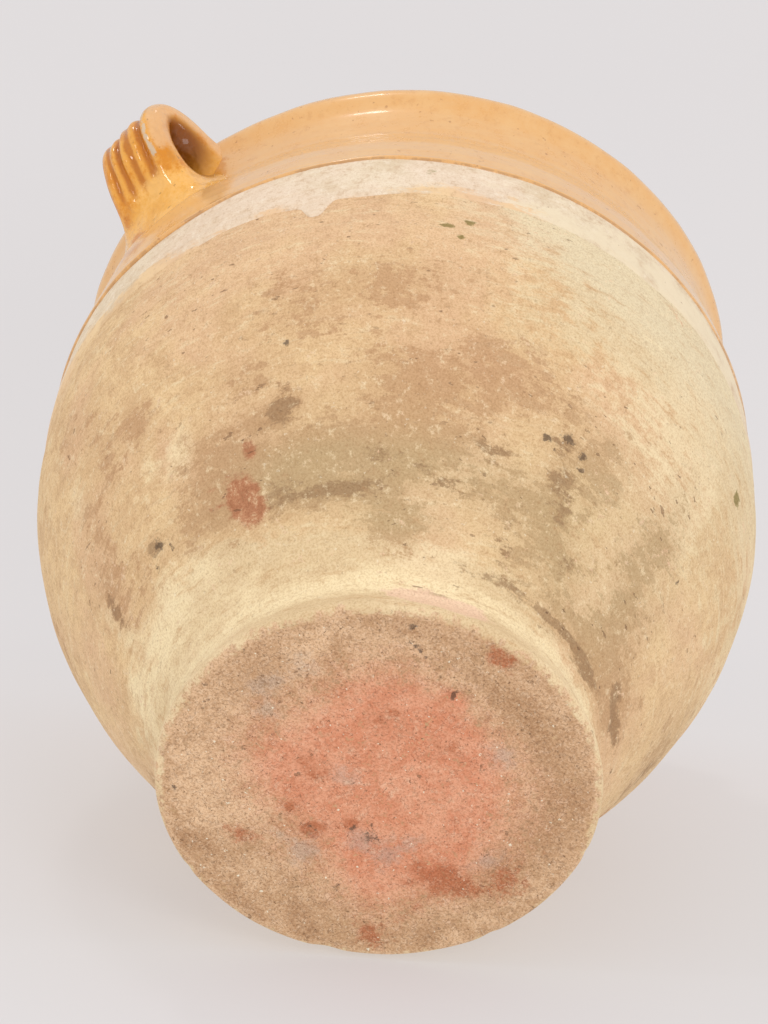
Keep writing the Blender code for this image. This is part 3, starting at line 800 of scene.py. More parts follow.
def spread_on_wall(out, aside, height, facing, share, across, over):
    """Roots of the strap smeared over the wall: points slide along the wall, sideways, up or down.

    The slide falls off with the distance from the wall as two exponentials, one long and one short, and
    follows the place round the section. The distance from the wall stays as it was, and is given back too.
    """
    turn, radius = np.arctan2(aside, out), np.hypot(out, aside)

    def wall_at(height, turn):
        """Radius of the glazed wall."""
        return radius_at(height) + out_of_round(turn + facing, height) + SLIP_THICKNESS + GLAZE_THICKNESS
    off = radius - wall_at(height, turn)
    sideways = turn * radius
    near = np.maximum(off, -0.0005)
    fall, hem = np.exp(-near / SPREAD_FALL), HEM * np.exp(-near / HEM_FALL)
    at_top, at_foot = 1.0 - smooth(*TOP_ENDS, share), smooth(*FOOT_STARTS, share)
    roots = (at_top, 1.0, TOP_SPREAD), (at_foot, -1.0, FOOT_SPREAD)
    for there, upward, (left, right, outer, inner) in roots:
        edge = hem * (outer > 0)
        slide = np.where(across > 0, right, left) * fall + edge
        sideways = sideways + there * across * np.abs(across) * slide
        lift = np.where(over > 0, outer * fall + edge, inner * fall + hem)
        height = height + there * upward * over * lift
    turn = sideways / radius
    radius = wall_at(height, turn) + off
    return radius * np.cos(turn), radius * np.sin(turn), height, near


def ear(name, node, facing, seed):
    """Fluted strap: a squared oval section carried along its middle line, spread where it meets the wall.

    Between the grooves in EAR_GROOVES the outer face rises in ridges, each a raised cosine sharpened at its
    grooves. The ends are closed on a point inside the wall.
    """
    line, run = ear_line()
    out = -normals(line)
    share = (run / run[-1])[:, None]
    around = np.linspace(0.0, 2.0 * np.pi, EAR_COLUMNS, endpoint=False)[None, :]
    across, over = (np.sign(v) * np.abs(v) ** EAR_SQUARENESS for v in (np.cos(around), np.sin(around)))
    upper = np.clip(over, 0.0, 1.0)

    top_flare = TOP_FLARE * np.exp(-np.maximum(run[:, None] - EAR_ROOT_DEPTH, -0.001) / TOP_FLARE_FALL)
    half_width = 0.5 * EAR_WIDTH - MIDDLE_NARROWS * np.sin(np.pi * share) ** 2 + top_flare
    underfill = EAR_UNDERFILL * (over < 0) * (1.0 - smooth(*UNDERFILL_ENDS, share))
    half_thick = 0.5 * EAR_THICKNESS + top_flare + underfill

    sway = 0.03 * np.sin(5.0 * share + seed) * (1.0 - across**2)
    ridge_count = np.interp(across + sway, EAR_GROOVES, range(len(EAR_GROOVES)))
    groove = (0.5 + 0.5 * np.cos(2.0 * np.pi * ridge_count)) ** 1.5
    crest, face = (np.interp(across + sway, EAR_GROOVES, d) for d in (EAR_GROOVE_DEPTHS, EAR_FACE_DEPTHS))
    deep = (crest + (face - crest) * smooth(*FACE_STARTS, share)) * (1.0 - smooth(*GROOVES_END, share))
    thumbed = THUMBED * np.sin(14.0 * share + 2.5 * across + seed)
    thumbed = thumbed + THUMBED_FINE * np.sin(31.0 * share - 6.0 * across)
    proud = PROUD_EDGE * smooth(*PROUD_ACROSS, across) * between(*PROUD_ALONG, share)
    rise = over * half_thick - upper * deep * groove + np.abs(over) * (thumbed - THINNED) + upper * proud
    wander = EAR_WANDER * np.sin(6.0 * share + seed) * np.abs(across) - EAR_LEAN * smooth(0.3, 1.0, share)

    turn = np.radians(facing)
    r, z = (line[:, k, None] + out[:, k, None] * rise for k in (0, 1))
    r, aside, z, off = spread_on_wall(r, across * half_width + wander, z, turn, share, across, over)
    x, y = r * np.cos(turn) - aside * np.sin(turn), r * np.sin(turn) + aside * np.cos(turn)
    grid = np.stack([x, y, z], -1)
    middle = np.array([np.cos(turn), np.sin(turn)])
    ends = [np.broadcast_to(np.r_[line[k, 0] * middle, line[k, 1]], (1, EAR_COLUMNS, 3)) for k in (0, -1)]

    def blob(across_at, share_at, half_width, half_length):
        """Soft oval on the strap, by its share across and its share along."""
        return bell(across, across_at, half_width) * bell(share, share_at, half_length)
    fields = {
        "groove": upper * groove * (1.0 - smooth(0.68, 0.86, share)),
        # The underside takes pooled glaze and painted shade, and painted light near the wall.
        "under": smooth(0.1, 0.7, -over) * np.ones_like(share),
        "painted_light_near_wall": bell(off, 0.0, PAINTED_LIGHT_REACH - PAINTED_LIGHT_REACH_CUT * smooth(*TOP_ENDS, share)),
        "worn": bell(across, WORN_RIDGE, WORN_WIDTH) * between(*WORN_ALONG, share) * (over > 0),
        "root": smooth(0.70, 0.84, share) * np.ones_like(across),
        "rim": smooth(0.62, 0.86, across) * smooth(-0.5, 0.0, over) * (1.0 - smooth(0.60, 0.72, share)),
        "pool": upper * (blob(-0.75, 0.82, 0.35, 0.05) + 0.9 * blob(-0.3, 0.93, 0.4, 0.03)),
    }
    fields = {key: np.concatenate([value[:1], value, value[-1:]]) for key, value in fields.items()}
    piece = skin(name, np.concatenate([ends[0], grid, ends[1]]), fields, poles=True)
    place(piece, node, AMBER)


# Materials

def paint(red, green, blue):
    """Linear colour of a surface whose daylight colour is given in steps of 0 to 255."""
    c = np.array([red, green, blue]) / 255.0
    linear = np.where(c <= 0.04045, c / 12.92, ((c + 0.055) / 1.055) ** 2.4)
    return (*[float(v) for v in linear], 1.0)


def add(tree, kind, inputs=None, **settings):
    """A shader node with its settings, its sockets filled with values or joined to other nodes' outputs."""
    made = tree.nodes.new(kind)
    for key, value in settings.items():
        setattr(made, key, value)
    for key, value in (inputs or {}).items():
        if isinstance(value, bpy.types.NodeSocket):
            tree.links.new(value, made.inputs[key])
        else:
            made.inputs[key].default_value = value
    return made


def mixed(tree, share, under, over, how="MIX"):
    """Colour that goes from under to over by a share. A colour is a socket or three daylight steps."""
    under, over = (c if isinstance(c, bpy.types.NodeSocket) else paint(*c) for c in (under, over))
    node = add(tree, "ShaderNodeMix", {0: share, 6: under, 7: over}, data_type="RGBA", blend_type=how)
    return node.outputs[2]


def math(tree, how, first, second=0.0, third=0.0):
    """A sum worked out from up to three values."""
    return add(tree, "ShaderNodeMath", {0: first, 1: second, 2: third}, operation=how).outputs[0]


def times(tree, first, second):
    """Product of two values."""
    return math(tree, "MULTIPLY", first, second)


def weighted(tree, *parts):
    """Sum of values, each given with its weight."""
    (first, weight), *others = parts
    value = times(tree, first, weight)
    for part, weight in others:
        value = math(tree, "MULTIPLY_ADD", part, weight, value)
    return value


def less(tree, value, most, drop):
    """A most, less a value times its drop."""
    return math(tree, "MULTIPLY_ADD", value, -drop, most)


def field_of(tree, name):
    """Value of a piece's own attribute."""
    return add(tree, "ShaderNodeAttribute", attribute_name=name).outputs["Fac"]


def ramp(tree, value, low, high, to_low=0.0, to_high=1.0):
    """A value eased from one range to another."""
    inputs = {0: value, 1: low, 2: high, 3: to_low, 4: to_high}
    return add(tree, "ShaderNodeMapRange", inputs, interpolation_type="SMOOTHSTEP").outputs[0]


def noise(tree, vector, scale, detail, roughness, distortion=0.0):
    """Noise about 0.5, with this many features to the metre."""
    inputs = {"Vector": vector, "Scale": scale, "Detail": detail}
    inputs.update({"Roughness": roughness, "Distortion": distortion})
    return add(tree, "ShaderNodeTexNoise", inputs).outputs["Fac"]


def new_group(name, inputs, outputs):
    """An empty node group with a vector input or none, named number inputs and named number outputs."""
    group = bpy.data.node_groups.new(name, "ShaderNodeTree")
    for label, value in inputs.items():
        kind = "NodeSocketVector" if value is None else "NodeSocketFloat"
        socket = group.interface.new_socket(label, in_out="INPUT", socket_type=kind)
        if value is not None:
            socket.default_value = value
    for label in outputs:
        group.interface.new_socket(label, in_out="OUTPUT", socket_type="NodeSocketFloat")
    return group, group.nodes.new("NodeGroupInput").outputs, group.nodes.new("NodeGroupOutput").inputs


def fired_grain():
    """Group: noise of a fired surface: clouds, blotches, mottle, grain, and long and short strokes."""
    kinds = ("Clouds", "Blotches", "Mottle", "Grain", "Streaks", "Strokes")
    group, start, end = new_group("fired grain", {"Vector": None, "Streak Pitch": 420.0}, kinds)
    vector = start["Vector"]
    x, y, z = add(group, "ShaderNodeSeparateXYZ", {0: vector}).outputs
    clouds = noise(group, vector, 14.0, 4.0, 0.55, 0.3)
    up = math(group, "MULTIPLY_ADD", z, start["Streak Pitch"], times(group, clouds, 6.0))

    def flattened(scale):
        """Place with its own pitch up the pot and another one round it."""
        parts = {0: times(group, x, scale), 1: times(group, y, scale), 2: up}
        return add(group, "ShaderNodeCombineXYZ", parts).outputs[0]
    made = (
        clouds, noise(group, vector, 55.0, 9.0, 0.80), noise(group, vector, 240.0, 6.0, 0.78),
        noise(group, vector, 1200.0, 3.0, 0.65), noise(group, flattened(14.0), 1.0, 5.0, 0.68),
        noise(group, flattened(90.0), 0.7, 5.0, 0.72),
    )
    for kind, value in zip(kinds, made):
        group.links.new(value, end[kind])
    return group


def scattered_specks():
    """Group: ragged specks where a fine noise rises above a level."""
    inputs = {"Vector": None, "Scale": 300.0, "Level": 0.7}
    group, start, end = new_group("scattered specks", inputs, ["Specks"])
    value = noise(group, start["Vector"], start["Scale"], 2.5, 0.6)
    specks = ramp(group, value, start["Level"], math(group, "ADD", start["Level"], 0.04))
    group.links.new(specks, end["Specks"])
    return group


def broken_edge():
    """Group: a soft field made into a mask whose edge is broken up by noise."""
    inputs = {"Field": 0.0, "Noise": 0.5, "Break": 2.0, "Middle": 0.45, "Soft": 0.15, "Most": 1.0}
    group, start, end = new_group("broken edge", inputs, ["Mask"])
    field, wild, reach, middle, soft, most = (start[label] for label in inputs)
    pushed = math(group, "MULTIPLY_ADD", math(group, "SUBTRACT", wild, 0.5), reach, field)
    mask = ramp(group, pushed, math(group, "SUBTRACT", middle, soft), math(group, "ADD", middle, soft))
    present = times(group, ramp(group, field, 0.01, 0.15), most)
    group.links.new(times(group, mask, present), end["Mask"])
    return group


GRAIN = fired_grain()
SPECKS = scattered_specks()
BROKEN = broken_edge()


def grouped(tree, group, **inputs):
    """Outputs of a node group placed in a tree, with its inputs by name, spaces written as underscores."""
    inputs = {key.replace("_", " "): value for key, value in inputs.items()}
    return add(tree, "ShaderNodeGroup", inputs, node_tree=group).outputs


class Finish:
    """A material in the making: its tree, its shader, the noises of its grain, and a colour in layers."""

    def __init__(self, name, streak_pitch):
        """New material with the grain's fields ready and no colour yet."""
        self.material = bpy.data.materials.new(name)
        self.material.use_nodes = True
        self.tree = self.material.node_tree
        self.shader = self.tree.nodes["Principled BSDF"]
        self.here = add(self.tree, "ShaderNodeTexCoord").outputs["Object"]
        grain = grouped(self.tree, GRAIN, Vector=self.here, Streak_Pitch=streak_pitch)
        self.clouds, self.blotches, self.mottle, self.fine, self.streaks, self.strokes = grain
        self.ragged = weighted(self.tree, (self.blotches, 0.60), (self.strokes, 0.40))
        self.colour = None

    def two_tone(self, value, low, high, first, second):
        """Colour that goes from one to another as a value goes from low to high."""
        return mixed(self.tree, ramp(self.tree, value, low, high), first, second)

    def lay(self, mask, colour):
        """Lays a colour over what is there, by a mask."""
        self.colour = mixed(self.tree, mask, self.colour, colour)

    def tint(self, value, low, high, most, colour):
        """Lays a colour on as a value goes from low to high, at most this much."""
        self.lay(ramp(self.tree, value, low, high, 0.0, most), colour)

    def stain(self, field, wild, most, reach, middle, soft, colour):
        """Lays a colour on a field, at most this much, its edge broken by a noise. Gives the mask."""
        settings = {"Break": reach, "Middle": middle, "Soft": soft, "Most": most}
        mask = grouped(self.tree, BROKEN, Field=field_of(self.tree, field), Noise=wild, **settings)["Mask"]
        self.lay(mask, colour)
        return mask

    def specks(self, scale, level, **mapping):
        """Mask of scattered specks, their places scaled or moved by a mapping."""
        spot = self.here
        if mapping:
            spot = add(self.tree, "ShaderNodeMapping", {"Vector": spot, **mapping}).outputs[0]
        return grouped(self.tree, SPECKS, Vector=spot, Scale=scale, Level=level)["Specks"]

    def close(self, roughness, heights, distance, strength):
        """Joins colour, roughness and a bump of weighted heights to the shader. Gives the material."""
        bump = {"Height": weighted(self.tree, *heights), "Distance": distance, "Strength": strength}
        normal = add(self.tree, "ShaderNodeBump", bump).outputs[0]
        for name, value in (("Base Color", self.colour), ("Roughness", roughness), ("Normal", normal)):
            self.tree.links.new(value, self.shader.inputs[name])
        return self.material


def buff_ground(finish):
    """Buff of the bare wall: paler and darker by blotches, pinkish by clouds."""
    finish.colour = finish.two_tone(finish.blotches, 0.41, 0.57, (222, 184, 138), (238, 204, 156))
    finish.tint(finish.clouds, 0.46, 0.62, 0.55, (230, 187, 149))


def clay_wall_colour(clay):
    """Buff clay under a worn cream wash, with soaked-in stains, patches where the red clay is bared, and a
    painted highlight round the waist.
    """
    tree, ragged, mottle, streaks, strokes = clay.tree, clay.ragged, clay.mottle, clay.streaks, clay.strokes
    buff_ground(clay)
    olive = field_of(tree, "olive")
    clay.lay(times(tree, olive, 0.45), (222, 200, 158))
    wash = clay.two_tone(clay.clouds, 0.42, 0.58, (227, 201, 159), (242, 219, 178))
    washed = clay.stain("pale", ragged, 0.80, 4.5, 0.42, 0.24, wash)
    clay.stain("cream", ragged, 0.85, 3.0, 0.42, 0.50, (235, 218, 183))
    # Painted highlight: bright cream on the waist's band and patches.
    clay.stain("waist", ragged, 0.85, 3.0, 0.45, 0.40, (252, 231, 188))
    clay.tint(streaks, 0.56, 0.74, 0.25, (247, 228, 190))
    clay.tint(streaks, 0.44, 0.28, 0.25, (196, 156, 112))
    clay.tint(strokes, 0.55, 0.68, 0.50, (245, 224, 182))
    clay.tint(strokes, 0.45, 0.32, 0.45, (204, 164, 118))
    soaked = mixed(tree, olive, (195, 150, 109), (187, 157, 115))
    clay.stain("brown", clay.blotches, 0.34, 3.5, 0.30, 0.34, soaked)
    clay.stain("brown", ragged, 0.68, 6.0, 0.52, 0.11, soaked)
    clay.stain("deep", ragged, 0.65, 4.5, 0.45, 0.16, (150, 116, 82))
    bared = clay.two_tone(mottle, 0.42, 0.58, (172, 104, 70), (193, 131, 93))
    clay.stain("red", ragged, 0.85, 2.8, 0.45, 0.20, bared)
    clay.stain("pink", ragged, 0.80, 3.5, 0.42, 0.2, (244, 206, 178))
    clay.tint(mottle, 0.54, 0.66, 0.52, (248, 226, 186))
    pitted = ramp(tree, mottle, 0.46, 0.35, 0.0, 0.40)
    clay.lay(times(tree, pitted, less(tree, washed, 1.0, 0.6)), (184, 142, 100))
    return clay.colour


def creases(clay):
    """Short creases of the dried base, where a noise crosses its middle: painted shade in them, and a
    painted highlight along one side.
    """
    tree = clay.tree
    off = math(tree, "SUBTRACT", noise(tree, clay.here, 400.0, 2.0, 0.5), 0.5)
    broken = ramp(tree, clay.mottle, 0.49, 0.56)
    crease = times(tree, ramp(tree, math(tree, "ABSOLUTE", off), 0.050, 0.012), broken)
    lip = times(tree, times(tree, ramp(tree, off, 0.035, 0.07), ramp(tree, off, 0.14, 0.09)), broken)
    return crease, lip


def clay_base_colour(clay, crease, lip):
    """Bare base: tan grit, brown near the edge, orange-red in the middle, with ash and red-brown spots, and
    painted shade and highlights for its creases and fine relief.
    """
    tree, blotches, mottle, fine = clay.tree, clay.blotches, clay.mottle, clay.fine
    clay.colour = clay.two_tone(blotches, 0.41, 0.57, (200, 157, 117), (225, 185, 146))
    clay.stain("base_brown", blotches, 0.66, 4.5, 0.45, 0.30, (176, 130, 90))
    clay.stain("cream", blotches, 0.70, 3.0, 0.45, 0.40, (240, 200, 160))
    glow = clay.two_tone(blotches, 0.41, 0.57, (222, 140, 104), (234, 164, 130))
    broad = weighted(tree, (mottle, 0.80), (clay.clouds, 0.20))
    ember = clay.stain("ember", broad, 0.92, 2.0, 0.45, 0.55, glow)
    clay.stain("ember_deep", blotches, 0.74, 4.0, 0.45, 0.30, (180, 93, 48))
    clay.stain("ash", blotches, 0.36, 4.0, 0.40, 0.40, (174, 164, 156))
    clay.tint(mottle, 0.53, 0.66, 0.36, (244, 212, 180))
    wrinkled, gritty, painted_relief_share = (less(tree, ember, *s) for s in ((0.17, 0.11), (0.50, 0.28), (0.27, 0.17)))
    # Painted shade in the creases, and a painted highlight along one side of them.
    clay.lay(times(tree, crease, wrinkled), (138, 98, 68))
    clay.lay(times(tree, lip, wrinkled), (242, 210, 176))
    clay.lay(times(tree, ramp(tree, mottle, 0.47, 0.36), gritty), (138, 98, 68))
    # Painted highlight and painted shade: light and dark fine flecks for the base's small relief.
    clay.lay(times(tree, ramp(tree, fine, 0.54, 0.68), painted_relief_share), (244, 214, 184))
    clay.lay(times(tree, ramp(tree, fine, 0.47, 0.34), painted_relief_share), (150, 104, 74))
    return clay.colour


def clay_material():
    """Bare matt clay: the wall's and the base's colours, dark and green spots, pits, specks, grit and
    painted fine shade.
    """
    clay = Finish("bare clay", 420.0)
    tree, mottle, fine = clay.tree, clay.mottle, clay.fine
    crease, lip = creases(clay)
    wall, base = clay_wall_colour(clay), clay_base_colour(clay, crease, lip)
    on_base = field_of(tree, "base")
    broken = weighted(tree, (clay.blotches, 0.5), (mottle, 0.5))
    edge = math(tree, "MULTIPLY_ADD", math(tree, "SUBTRACT", broken, 0.5), 5.0, on_base)
    clay.colour = clay.two_tone(edge, 0.30, 0.70, wall, base)
    clay.stain("green", mottle, 0.85, 2.0, 0.42, 0.16, (140, 122, 60))
    clay.stain("dark", mottle, 0.80, 3.0, 0.45, 0.18, (92, 70, 52))
    freckles = clay.specks(430.0, 0.68, Scale=(0.4, 0.4, 1.0))
    freckles = times(tree, freckles, ramp(tree, clay.clouds, 0.45, 0.57, 0.1, 1.0))
    pits = times(tree, clay.specks(560.0, 0.67), ramp(tree, on_base, 0.3, 0.7, 0.35, 1.0))
    grit = clay.specks(420.0, 0.69, Location=(0.31, 0.17, 0.23))
    clay.lay(times(tree, freckles, 0.60), (136, 96, 64))
    clay.lay(times(tree, pits, 0.55), (146, 104, 70))
    clay.lay(times(tree, grit, ramp(tree, on_base, 0.3, 0.7, 0.35, 0.8)), (250, 240, 216))
    # Painted shade: the colour darkened in fine flecks where the finest noise is low, for small relief.
    painted_fine_shade = mixed(tree, 1.0, clay.colour, (226, 216, 204), "MULTIPLY")
    clay.tint(fine, 0.56, 0.38, 0.6, painted_fine_shade)
    creased = times(tree, crease, on_base)
    raised = (mottle, 0.6), (fine, 0.3), (clay.strokes, 0.5)
    sunk = (pits, -0.6), (freckles, -0.6), (creased, -0.25)
    return clay.close(ramp(tree, clay.blotches, 0.3, 0.7, 0.78, 0.94), raised + sunk, 0.0008, 0.9)


def slip_material():
    """Dry cream slip: pale, pinkish in places, with brushed streaks, and rubbed to buff along its edge."""
    slip = Finish("cream slip", 520.0)
    tree, blotches, mottle, streaks = slip.tree, slip.blotches, slip.mottle, slip.streaks
    buff_ground(slip)
    slip.tint(mottle, 0.46, 0.35, 0.45, (184, 142, 100))
    buff = slip.colour
    slip.colour = slip.two_tone(blotches, 0.41, 0.57, (224, 202, 170), (238, 219, 192))
    slip.tint(slip.clouds, 0.44, 0.60, 0.6, (237, 212, 190))
    slip.tint(streaks, 0.46, 0.70, 0.40, (224, 194, 158))
    slip.tint(mottle, 0.48, 0.36, 0.60, (204, 170, 134))
    slip.tint(mottle, 0.53, 0.64, 0.60, (246, 230, 208))
    slip.tint(slip.fine, 0.52, 0.36, 0.4, (206, 176, 142))
    slip.stain("thin", blotches, 0.80, 4.0, 0.45, 0.35, (236, 218, 186))
    slip.stain("rubbed", slip.ragged, 0.94, 5.0, 0.48, 0.22, buff)
    slip.stain("green", mottle, 0.75, 2.0, 0.42, 0.2, (160, 140, 84))
    slip.lay(times(tree, slip.specks(300.0, 0.70), 0.5), (146, 108, 76))
    dull = ramp(tree, blotches, 0.3, 0.7, 0.6, 0.8)
    return slip.close(dull, ((mottle, 0.5), (streaks, 0.6)), 0.0004, 0.7)


def honey_material(name, thin, full, pooled, roughness, edge_line):
    """Honey glaze: thin and full patches in streaks, pooled amber, specks, and a dark edge line."""
    honey = Finish(name, 300.0)
    tree, blotches, mottle, streaks = honey.tree, honey.blotches, honey.mottle, honey.streaks
    flow = weighted(tree, (blotches, 0.8), (streaks, 0.2))
    honey.colour = honey.two_tone(flow, 0.36, 0.64, full, thin)
    honey.tint(honey.clouds, 0.44, 0.62, 0.35, full)
    honey.lay(times(tree, field_of(tree, "gold"), 0.85), (242, 182, 100))
    honey.lay(times(tree, field_of(tree, "lean"), 0.60), (240, 206, 164))
    honey.stain("pool", blotches, 0.90, 3.6, 0.42, 0.22, pooled)
    specks = honey.specks(330.0, 0.675)
    honey.lay(times(tree, specks, 0.5), (168, 104, 48))
    honey.tint(mottle, 0.47, 0.36, 0.28, (204, 142, 80))
    line = ramp(tree, field_of(tree, "above_edge"), 0.0014, 0.0005, 0.0, edge_line)
    honey.lay(times(tree, line, ramp(tree, blotches, 0.44, 0.54, 0.1, 1.0)), (150, 98, 62))
    honey.shader.inputs["Coat Weight"].default_value = 0.6
    honey.shader.inputs["Coat Roughness"].default_value = 0.12
    soft = ramp(tree, blotches, 0.3, 0.75, roughness * 0.8, roughness * 1.5)
    return honey.close(soft, ((mottle, 0.3), (streaks, 0.08), (specks, -0.5)), 0.0004, 0.5)


def amber_material():
    """Wet amber glaze on the ears: golden ridges, dark grooves, pooled glaze and painted shade under the
    strap with painted light near the wall, worn on one ridge.
    """
    amber = Finish("amber glaze", 200.0)
    tree, blotches = amber.tree, amber.blotches
    amber.colour = amber.two_tone(blotches, 0.42, 0.56, (222, 141, 30), (240, 172, 72))
    amber.stain("groove", blotches, 0.85, 3.0, 0.45, 0.35, (188, 106, 0))
    skirt = amber.two_tone(blotches, 0.42, 0.56, (242, 176, 76), (249, 190, 104))
    amber.stain("root", blotches, 0.95, 3.0, 0.5, 0.3, skirt)
    amber.stain("rim", blotches, 0.85, 3.0, 0.45, 0.4, (234, 184, 130))
    amber.stain("pool", blotches, 0.85, 3.5, 0.45, 0.2, (210, 126, 22))
    under = field_of(tree, "under")
    # Painted shade under the strap, over pooled glaze, turning to painted light near the wall.
    amber.lay(times(tree, under, 0.92), mixed(tree, field_of(tree, "painted_light_near_wall"), (126, 60, 0), (232, 164, 66)))
    worn = amber.stain("worn", amber.mottle, 0.90, 6.0, 0.60, 0.3, (214, 192, 164))
    amber.lay(times(tree, amber.specks(300.0, 0.68), 0.4), (128, 72, 24))
    tree.links.new(ramp(tree, under, 0.0, 1.0, 0.75, 0.35), amber.shader.inputs["Coat Weight"])
    amber.shader.inputs["Specular IOR Level"].default_value = 0.2
    amber.shader.inputs["Coat Roughness"].default_value = 0.03
    lumps = noise(tree, amber.here, 130.0, 2.0, 0.5)
    return amber.close(ramp(tree, worn, 0.0, 1.0, 0.25, 0.5), ((blotches, 0.25), (lumps, 1.0)), 0.0030, 0.8)


CLAY = clay_material()
SLIP = slip_material()
HONEY = honey_material("honey glaze", (235, 186, 124), (230, 173, 105), (216, 142, 44), 0.30, 0.5)
LINING = honey_material("glaze lining", (226, 172, 108), (210, 146, 76), (184, 112, 48), 0.24, 0.0)
AMBER = amber_material()

clay_body()
slip_band()
honey_coat()
glaze_lining()
ear("left_ear", "left_ear_handle", 180.0, 0.4)
ear("right_ear", "right_ear_handle", 0.0, 1.9)


# Stage, light and camera

PALE_CLOTH = (225, 222, 223)
PALE_ROOM = (224, 220, 219)
STAGE_GLOW, STAGE_GLOW_STRENGTH = 0.5, 0.98
FLOOR_HALF_SIDE = 2.0
FLOOR_DROPS = {"floor": 0.0003, "floor_under": 0.0008}
FLOOR_FADE = (1.6, 0.7)
BELOW_FLOOR = -0.0002
CLOTH_GAP = 0.0012
CLOTH_HALF_WIDTH, CLOTH_FRONT, CLOTH_RISE = 1.2, -1.2, 1.5
CLOTH_SWEEP_START, CLOTH_SWEEP_RADIUS, CLOTH_SWEEP, CLOTH_SWEEP_POINTS = 0.40, 0.30, 80, 16
LAMP_DISTANCE = 1.6
POT_MIDDLE = 0.15
ROOM_LIGHT = 0.93
ROOM_MIRRORED = 0.72
SENSOR_WIDTH = 36.0

# Each lamp is its name, its direction as parts to the lens, up and aside, its size and its power.
LAMPS = [
    ("key_lamp", (0.8, 0.75, -0.25), 0.22, 1.8),
    ("left_lamp", (0.7, -0.2, -0.9), 0.16, 0.9),
    ("right_lamp", (0.7, -0.1, 0.9), 0.16, 0.9),
    ("low_lamp", (0.75, -0.75, 0.3), 0.5, 4.0),
]

AZIMUTH, ELEVATION, ROLL = np.radians([PHOTO_AZIMUTH, PHOTO_ELEVATION, PHOTO_ROLL])
TOWARDS_LENS = np.array([np.sin(AZIMUTH), -np.cos(AZIMUTH), 0.0])
UP = np.array([0.0, 0.0, 1.0])
ASIDE = np.cross(UP, TOWARDS_LENS)


def sheet(name, points, faces, material):
    """Stage surface of given points and faces, which the eye sees and no other ray does."""
    mesh = bpy.data.meshes.new(name)
    mesh.from_pydata([tuple(p) for p in points], [], faces)
    mesh.materials.append(material)
    mesh.shade_smooth()
    piece = linked(name, mesh)
    for ray in ("diffuse", "glossy", "transmission", "volume_scatter", "shadow"):
        setattr(piece, "visible_" + ray, False)


def one_sided(name, shown):
    """Matt pale stage surface that shows on its front only, where shown lets it."""
    material = bpy.data.materials.new(name)
    material.use_nodes = True
    tree = material.node_tree
    tree.nodes.clear()
    end = tree.nodes.new("ShaderNodeOutputMaterial")
    lit = add(tree, "ShaderNodeBsdfDiffuse", {"Color": paint(*PALE_CLOTH)})
    glow = add(tree, "ShaderNodeEmission", {"Color": paint(*PALE_CLOTH), "Strength": STAGE_GLOW_STRENGTH})
    matt = add(tree, "ShaderNodeMixShader", {0: STAGE_GLOW, 1: lit.outputs[0], 2: glow.outputs[0]})
    clear = tree.nodes.new("ShaderNodeBsdfTransparent")
    front = math(tree, "SUBTRACT", 1.0, add(tree, "ShaderNodeNewGeometry").outputs["Backfacing"])
    here = add(tree, "ShaderNodeTexCoord").outputs["Object"]
    seen = times(tree, front, shown(tree, here))
    mix = add(tree, "ShaderNodeMixShader", {0: seen, 1: clear.outputs[0], 2: matt.outputs[0]})
    tree.links.new(mix.outputs[0], end.inputs["Surface"])
    return material


def floor_fade(tree, here):
    """1 near the pot, fading to 0 with distance from it."""
    away = add(tree, "ShaderNodeVectorMath", {0: here}, operation="LENGTH").outputs["Value"]
    return ramp(tree, away, *FLOOR_FADE)


def from_below(tree, here):
    """1 below the floor, or where the eye looks up through both of its sheets."""
    height = add(tree, "ShaderNodeSeparateXYZ", {0: here}).outputs[2]
    under = math(tree, "LESS_THAN", height, BELOW_FLOOR)
    through = math(tree, "GREATER_THAN", add(tree, "ShaderNodeLightPath").outputs["Transparent Depth"], 1.5)
    return math(tree, "MAXIMUM", under, through)


def floor():
    """Two square sheets just below the base."""
    material = one_sided("pale floor", floor_fade)
    corners = FLOOR_HALF_SIDE * np.array([(-1, -1, 0), (1, -1, 0), (1, 1, 0), (-1, 1, 0)])
    for name, drop in FLOOR_DROPS.items():
        sheet(name, corners - drop * UP, [(0, 1, 2, 3)], material)


def cloth():
    """Cloth under the lying pot: flat from its foot to its belly, then swept up behind it along an arc."""
    foot_touch = -FOOT_RADIUS * TOWARDS_LENS
    along = BELLY_HEIGHT * UP - BELLY_RADIUS * TOWARDS_LENS - foot_touch
    back_way = along / np.linalg.norm(along)
    cloth_up = np.cross(back_way, -ASIDE)
    bow = np.linspace(0.0, np.radians(CLOTH_SWEEP), CLOTH_SWEEP_POINTS)
    arc = CLOTH_SWEEP_RADIUS * np.c_[np.sin(bow), 1 - np.cos(bow)] + (CLOTH_SWEEP_START, 0.0)
    last = arc[-1] + CLOTH_RISE * np.array([np.cos(bow[-1]), np.sin(bow[-1])])
    line = np.vstack([(CLOTH_FRONT, 0.0), arc, last])
    middle = foot_touch - CLOTH_GAP * cloth_up + line[:, :1] * back_way + line[:, 1:] * cloth_up
    points = np.concatenate([middle - CLOTH_HALF_WIDTH * ASIDE, middle + CLOTH_HALF_WIDTH * ASIDE])
    n = len(line)
    faces = [(k, k + n, k + n + 1, k + 1) for k in range(n - 1)]
    sheet("cloth", points, faces, one_sided("pale cloth", from_below))


def turned_to(spot, right, up, back):
    """Matrix that puts a lamp or camera at a spot, with its own three axes these ways."""
    return Matrix.Translation(spot) @ Matrix(np.column_stack([right, up, back]).tolist()).to_4x4()


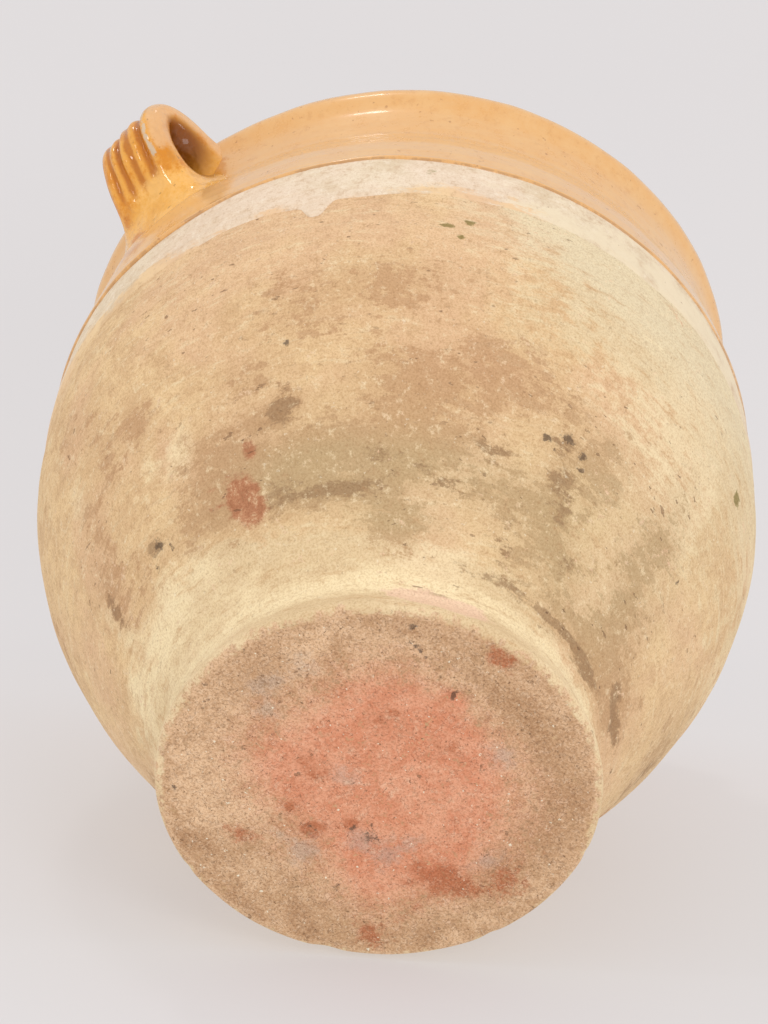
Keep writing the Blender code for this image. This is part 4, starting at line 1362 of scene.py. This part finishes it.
def soft_lamp(name, towards, size, power):
    """Round lamp in a direction from the pot's middle, facing the pot."""
    data = bpy.data.lights.new(name, "AREA")
    data.shape, data.size, data.energy = "DISK", size, power
    way = towards @ np.array([TOWARDS_LENS, UP, ASIDE])
    way /= np.linalg.norm(way)
    aside = np.cross(UP, way)
    aside /= np.linalg.norm(aside)
    spot = LAMP_DISTANCE * way + POT_MIDDLE * UP
    linked(name, data).matrix_world = turned_to(spot, aside, np.cross(way, aside), way)


def pale_room():
    """World that lights the pot evenly, shows the eye a pale ground, and is dimmer in the glazes' gloss."""
    world = bpy.data.worlds.new("pale room")
    bpy.context.scene.world = world
    world.use_nodes = True
    room = world.node_tree
    room.nodes.clear()
    path = room.nodes.new("ShaderNodeLightPath").outputs
    seen = add(room, "ShaderNodeBackground", {"Color": paint(*PALE_ROOM), "Strength": 1.0})
    dimmed = math(room, "MULTIPLY_ADD", path["Is Glossy Ray"], ROOM_MIRRORED - ROOM_LIGHT, ROOM_LIGHT)
    lit = add(room, "ShaderNodeBackground", {"Color": (1.0, 0.99, 0.98, 1.0), "Strength": dimmed})
    sides = {0: path["Is Camera Ray"], 1: lit.outputs[0], 2: seen.outputs[0]}
    choice = add(room, "ShaderNodeMixShader", sides)
    room.links.new(choice.outputs[0], room.nodes.new("ShaderNodeOutputWorld").inputs["Surface"])


def photo_camera():
    """Camera at the photograph's angle, turned by its roll, and placed by where it sees the base."""
    lens = bpy.data.cameras.new("photo_lens")
    lens.sensor_fit = "HORIZONTAL"
    lens.sensor_width = SENSOR_WIDTH
    lens.lens = PHOTO_FOCAL_PIXELS / PHOTO_WIDTH_PIXELS * SENSOR_WIDTH
    back = np.cos(ELEVATION) * TOWARDS_LENS + np.sin(ELEVATION) * UP
    level = np.array([np.cos(AZIMUTH), np.sin(AZIMUTH), 0.0])
    top = np.cross(back, level)
    axes = np.cos(ROLL) * level + np.sin(ROLL) * top, np.cos(ROLL) * top - np.sin(ROLL) * level, back
    camera = linked("photo_camera", lens)
    camera.matrix_world = turned_to(-np.array(BASE_FROM_LENS) @ axes, *axes)
    bpy.context.scene.camera = camera


floor()
cloth()
for lamp in LAMPS:
    soft_lamp(*lamp)
pale_room()
photo_camera()
bpy.context.scene.view_settings.view_transform = "Standard"
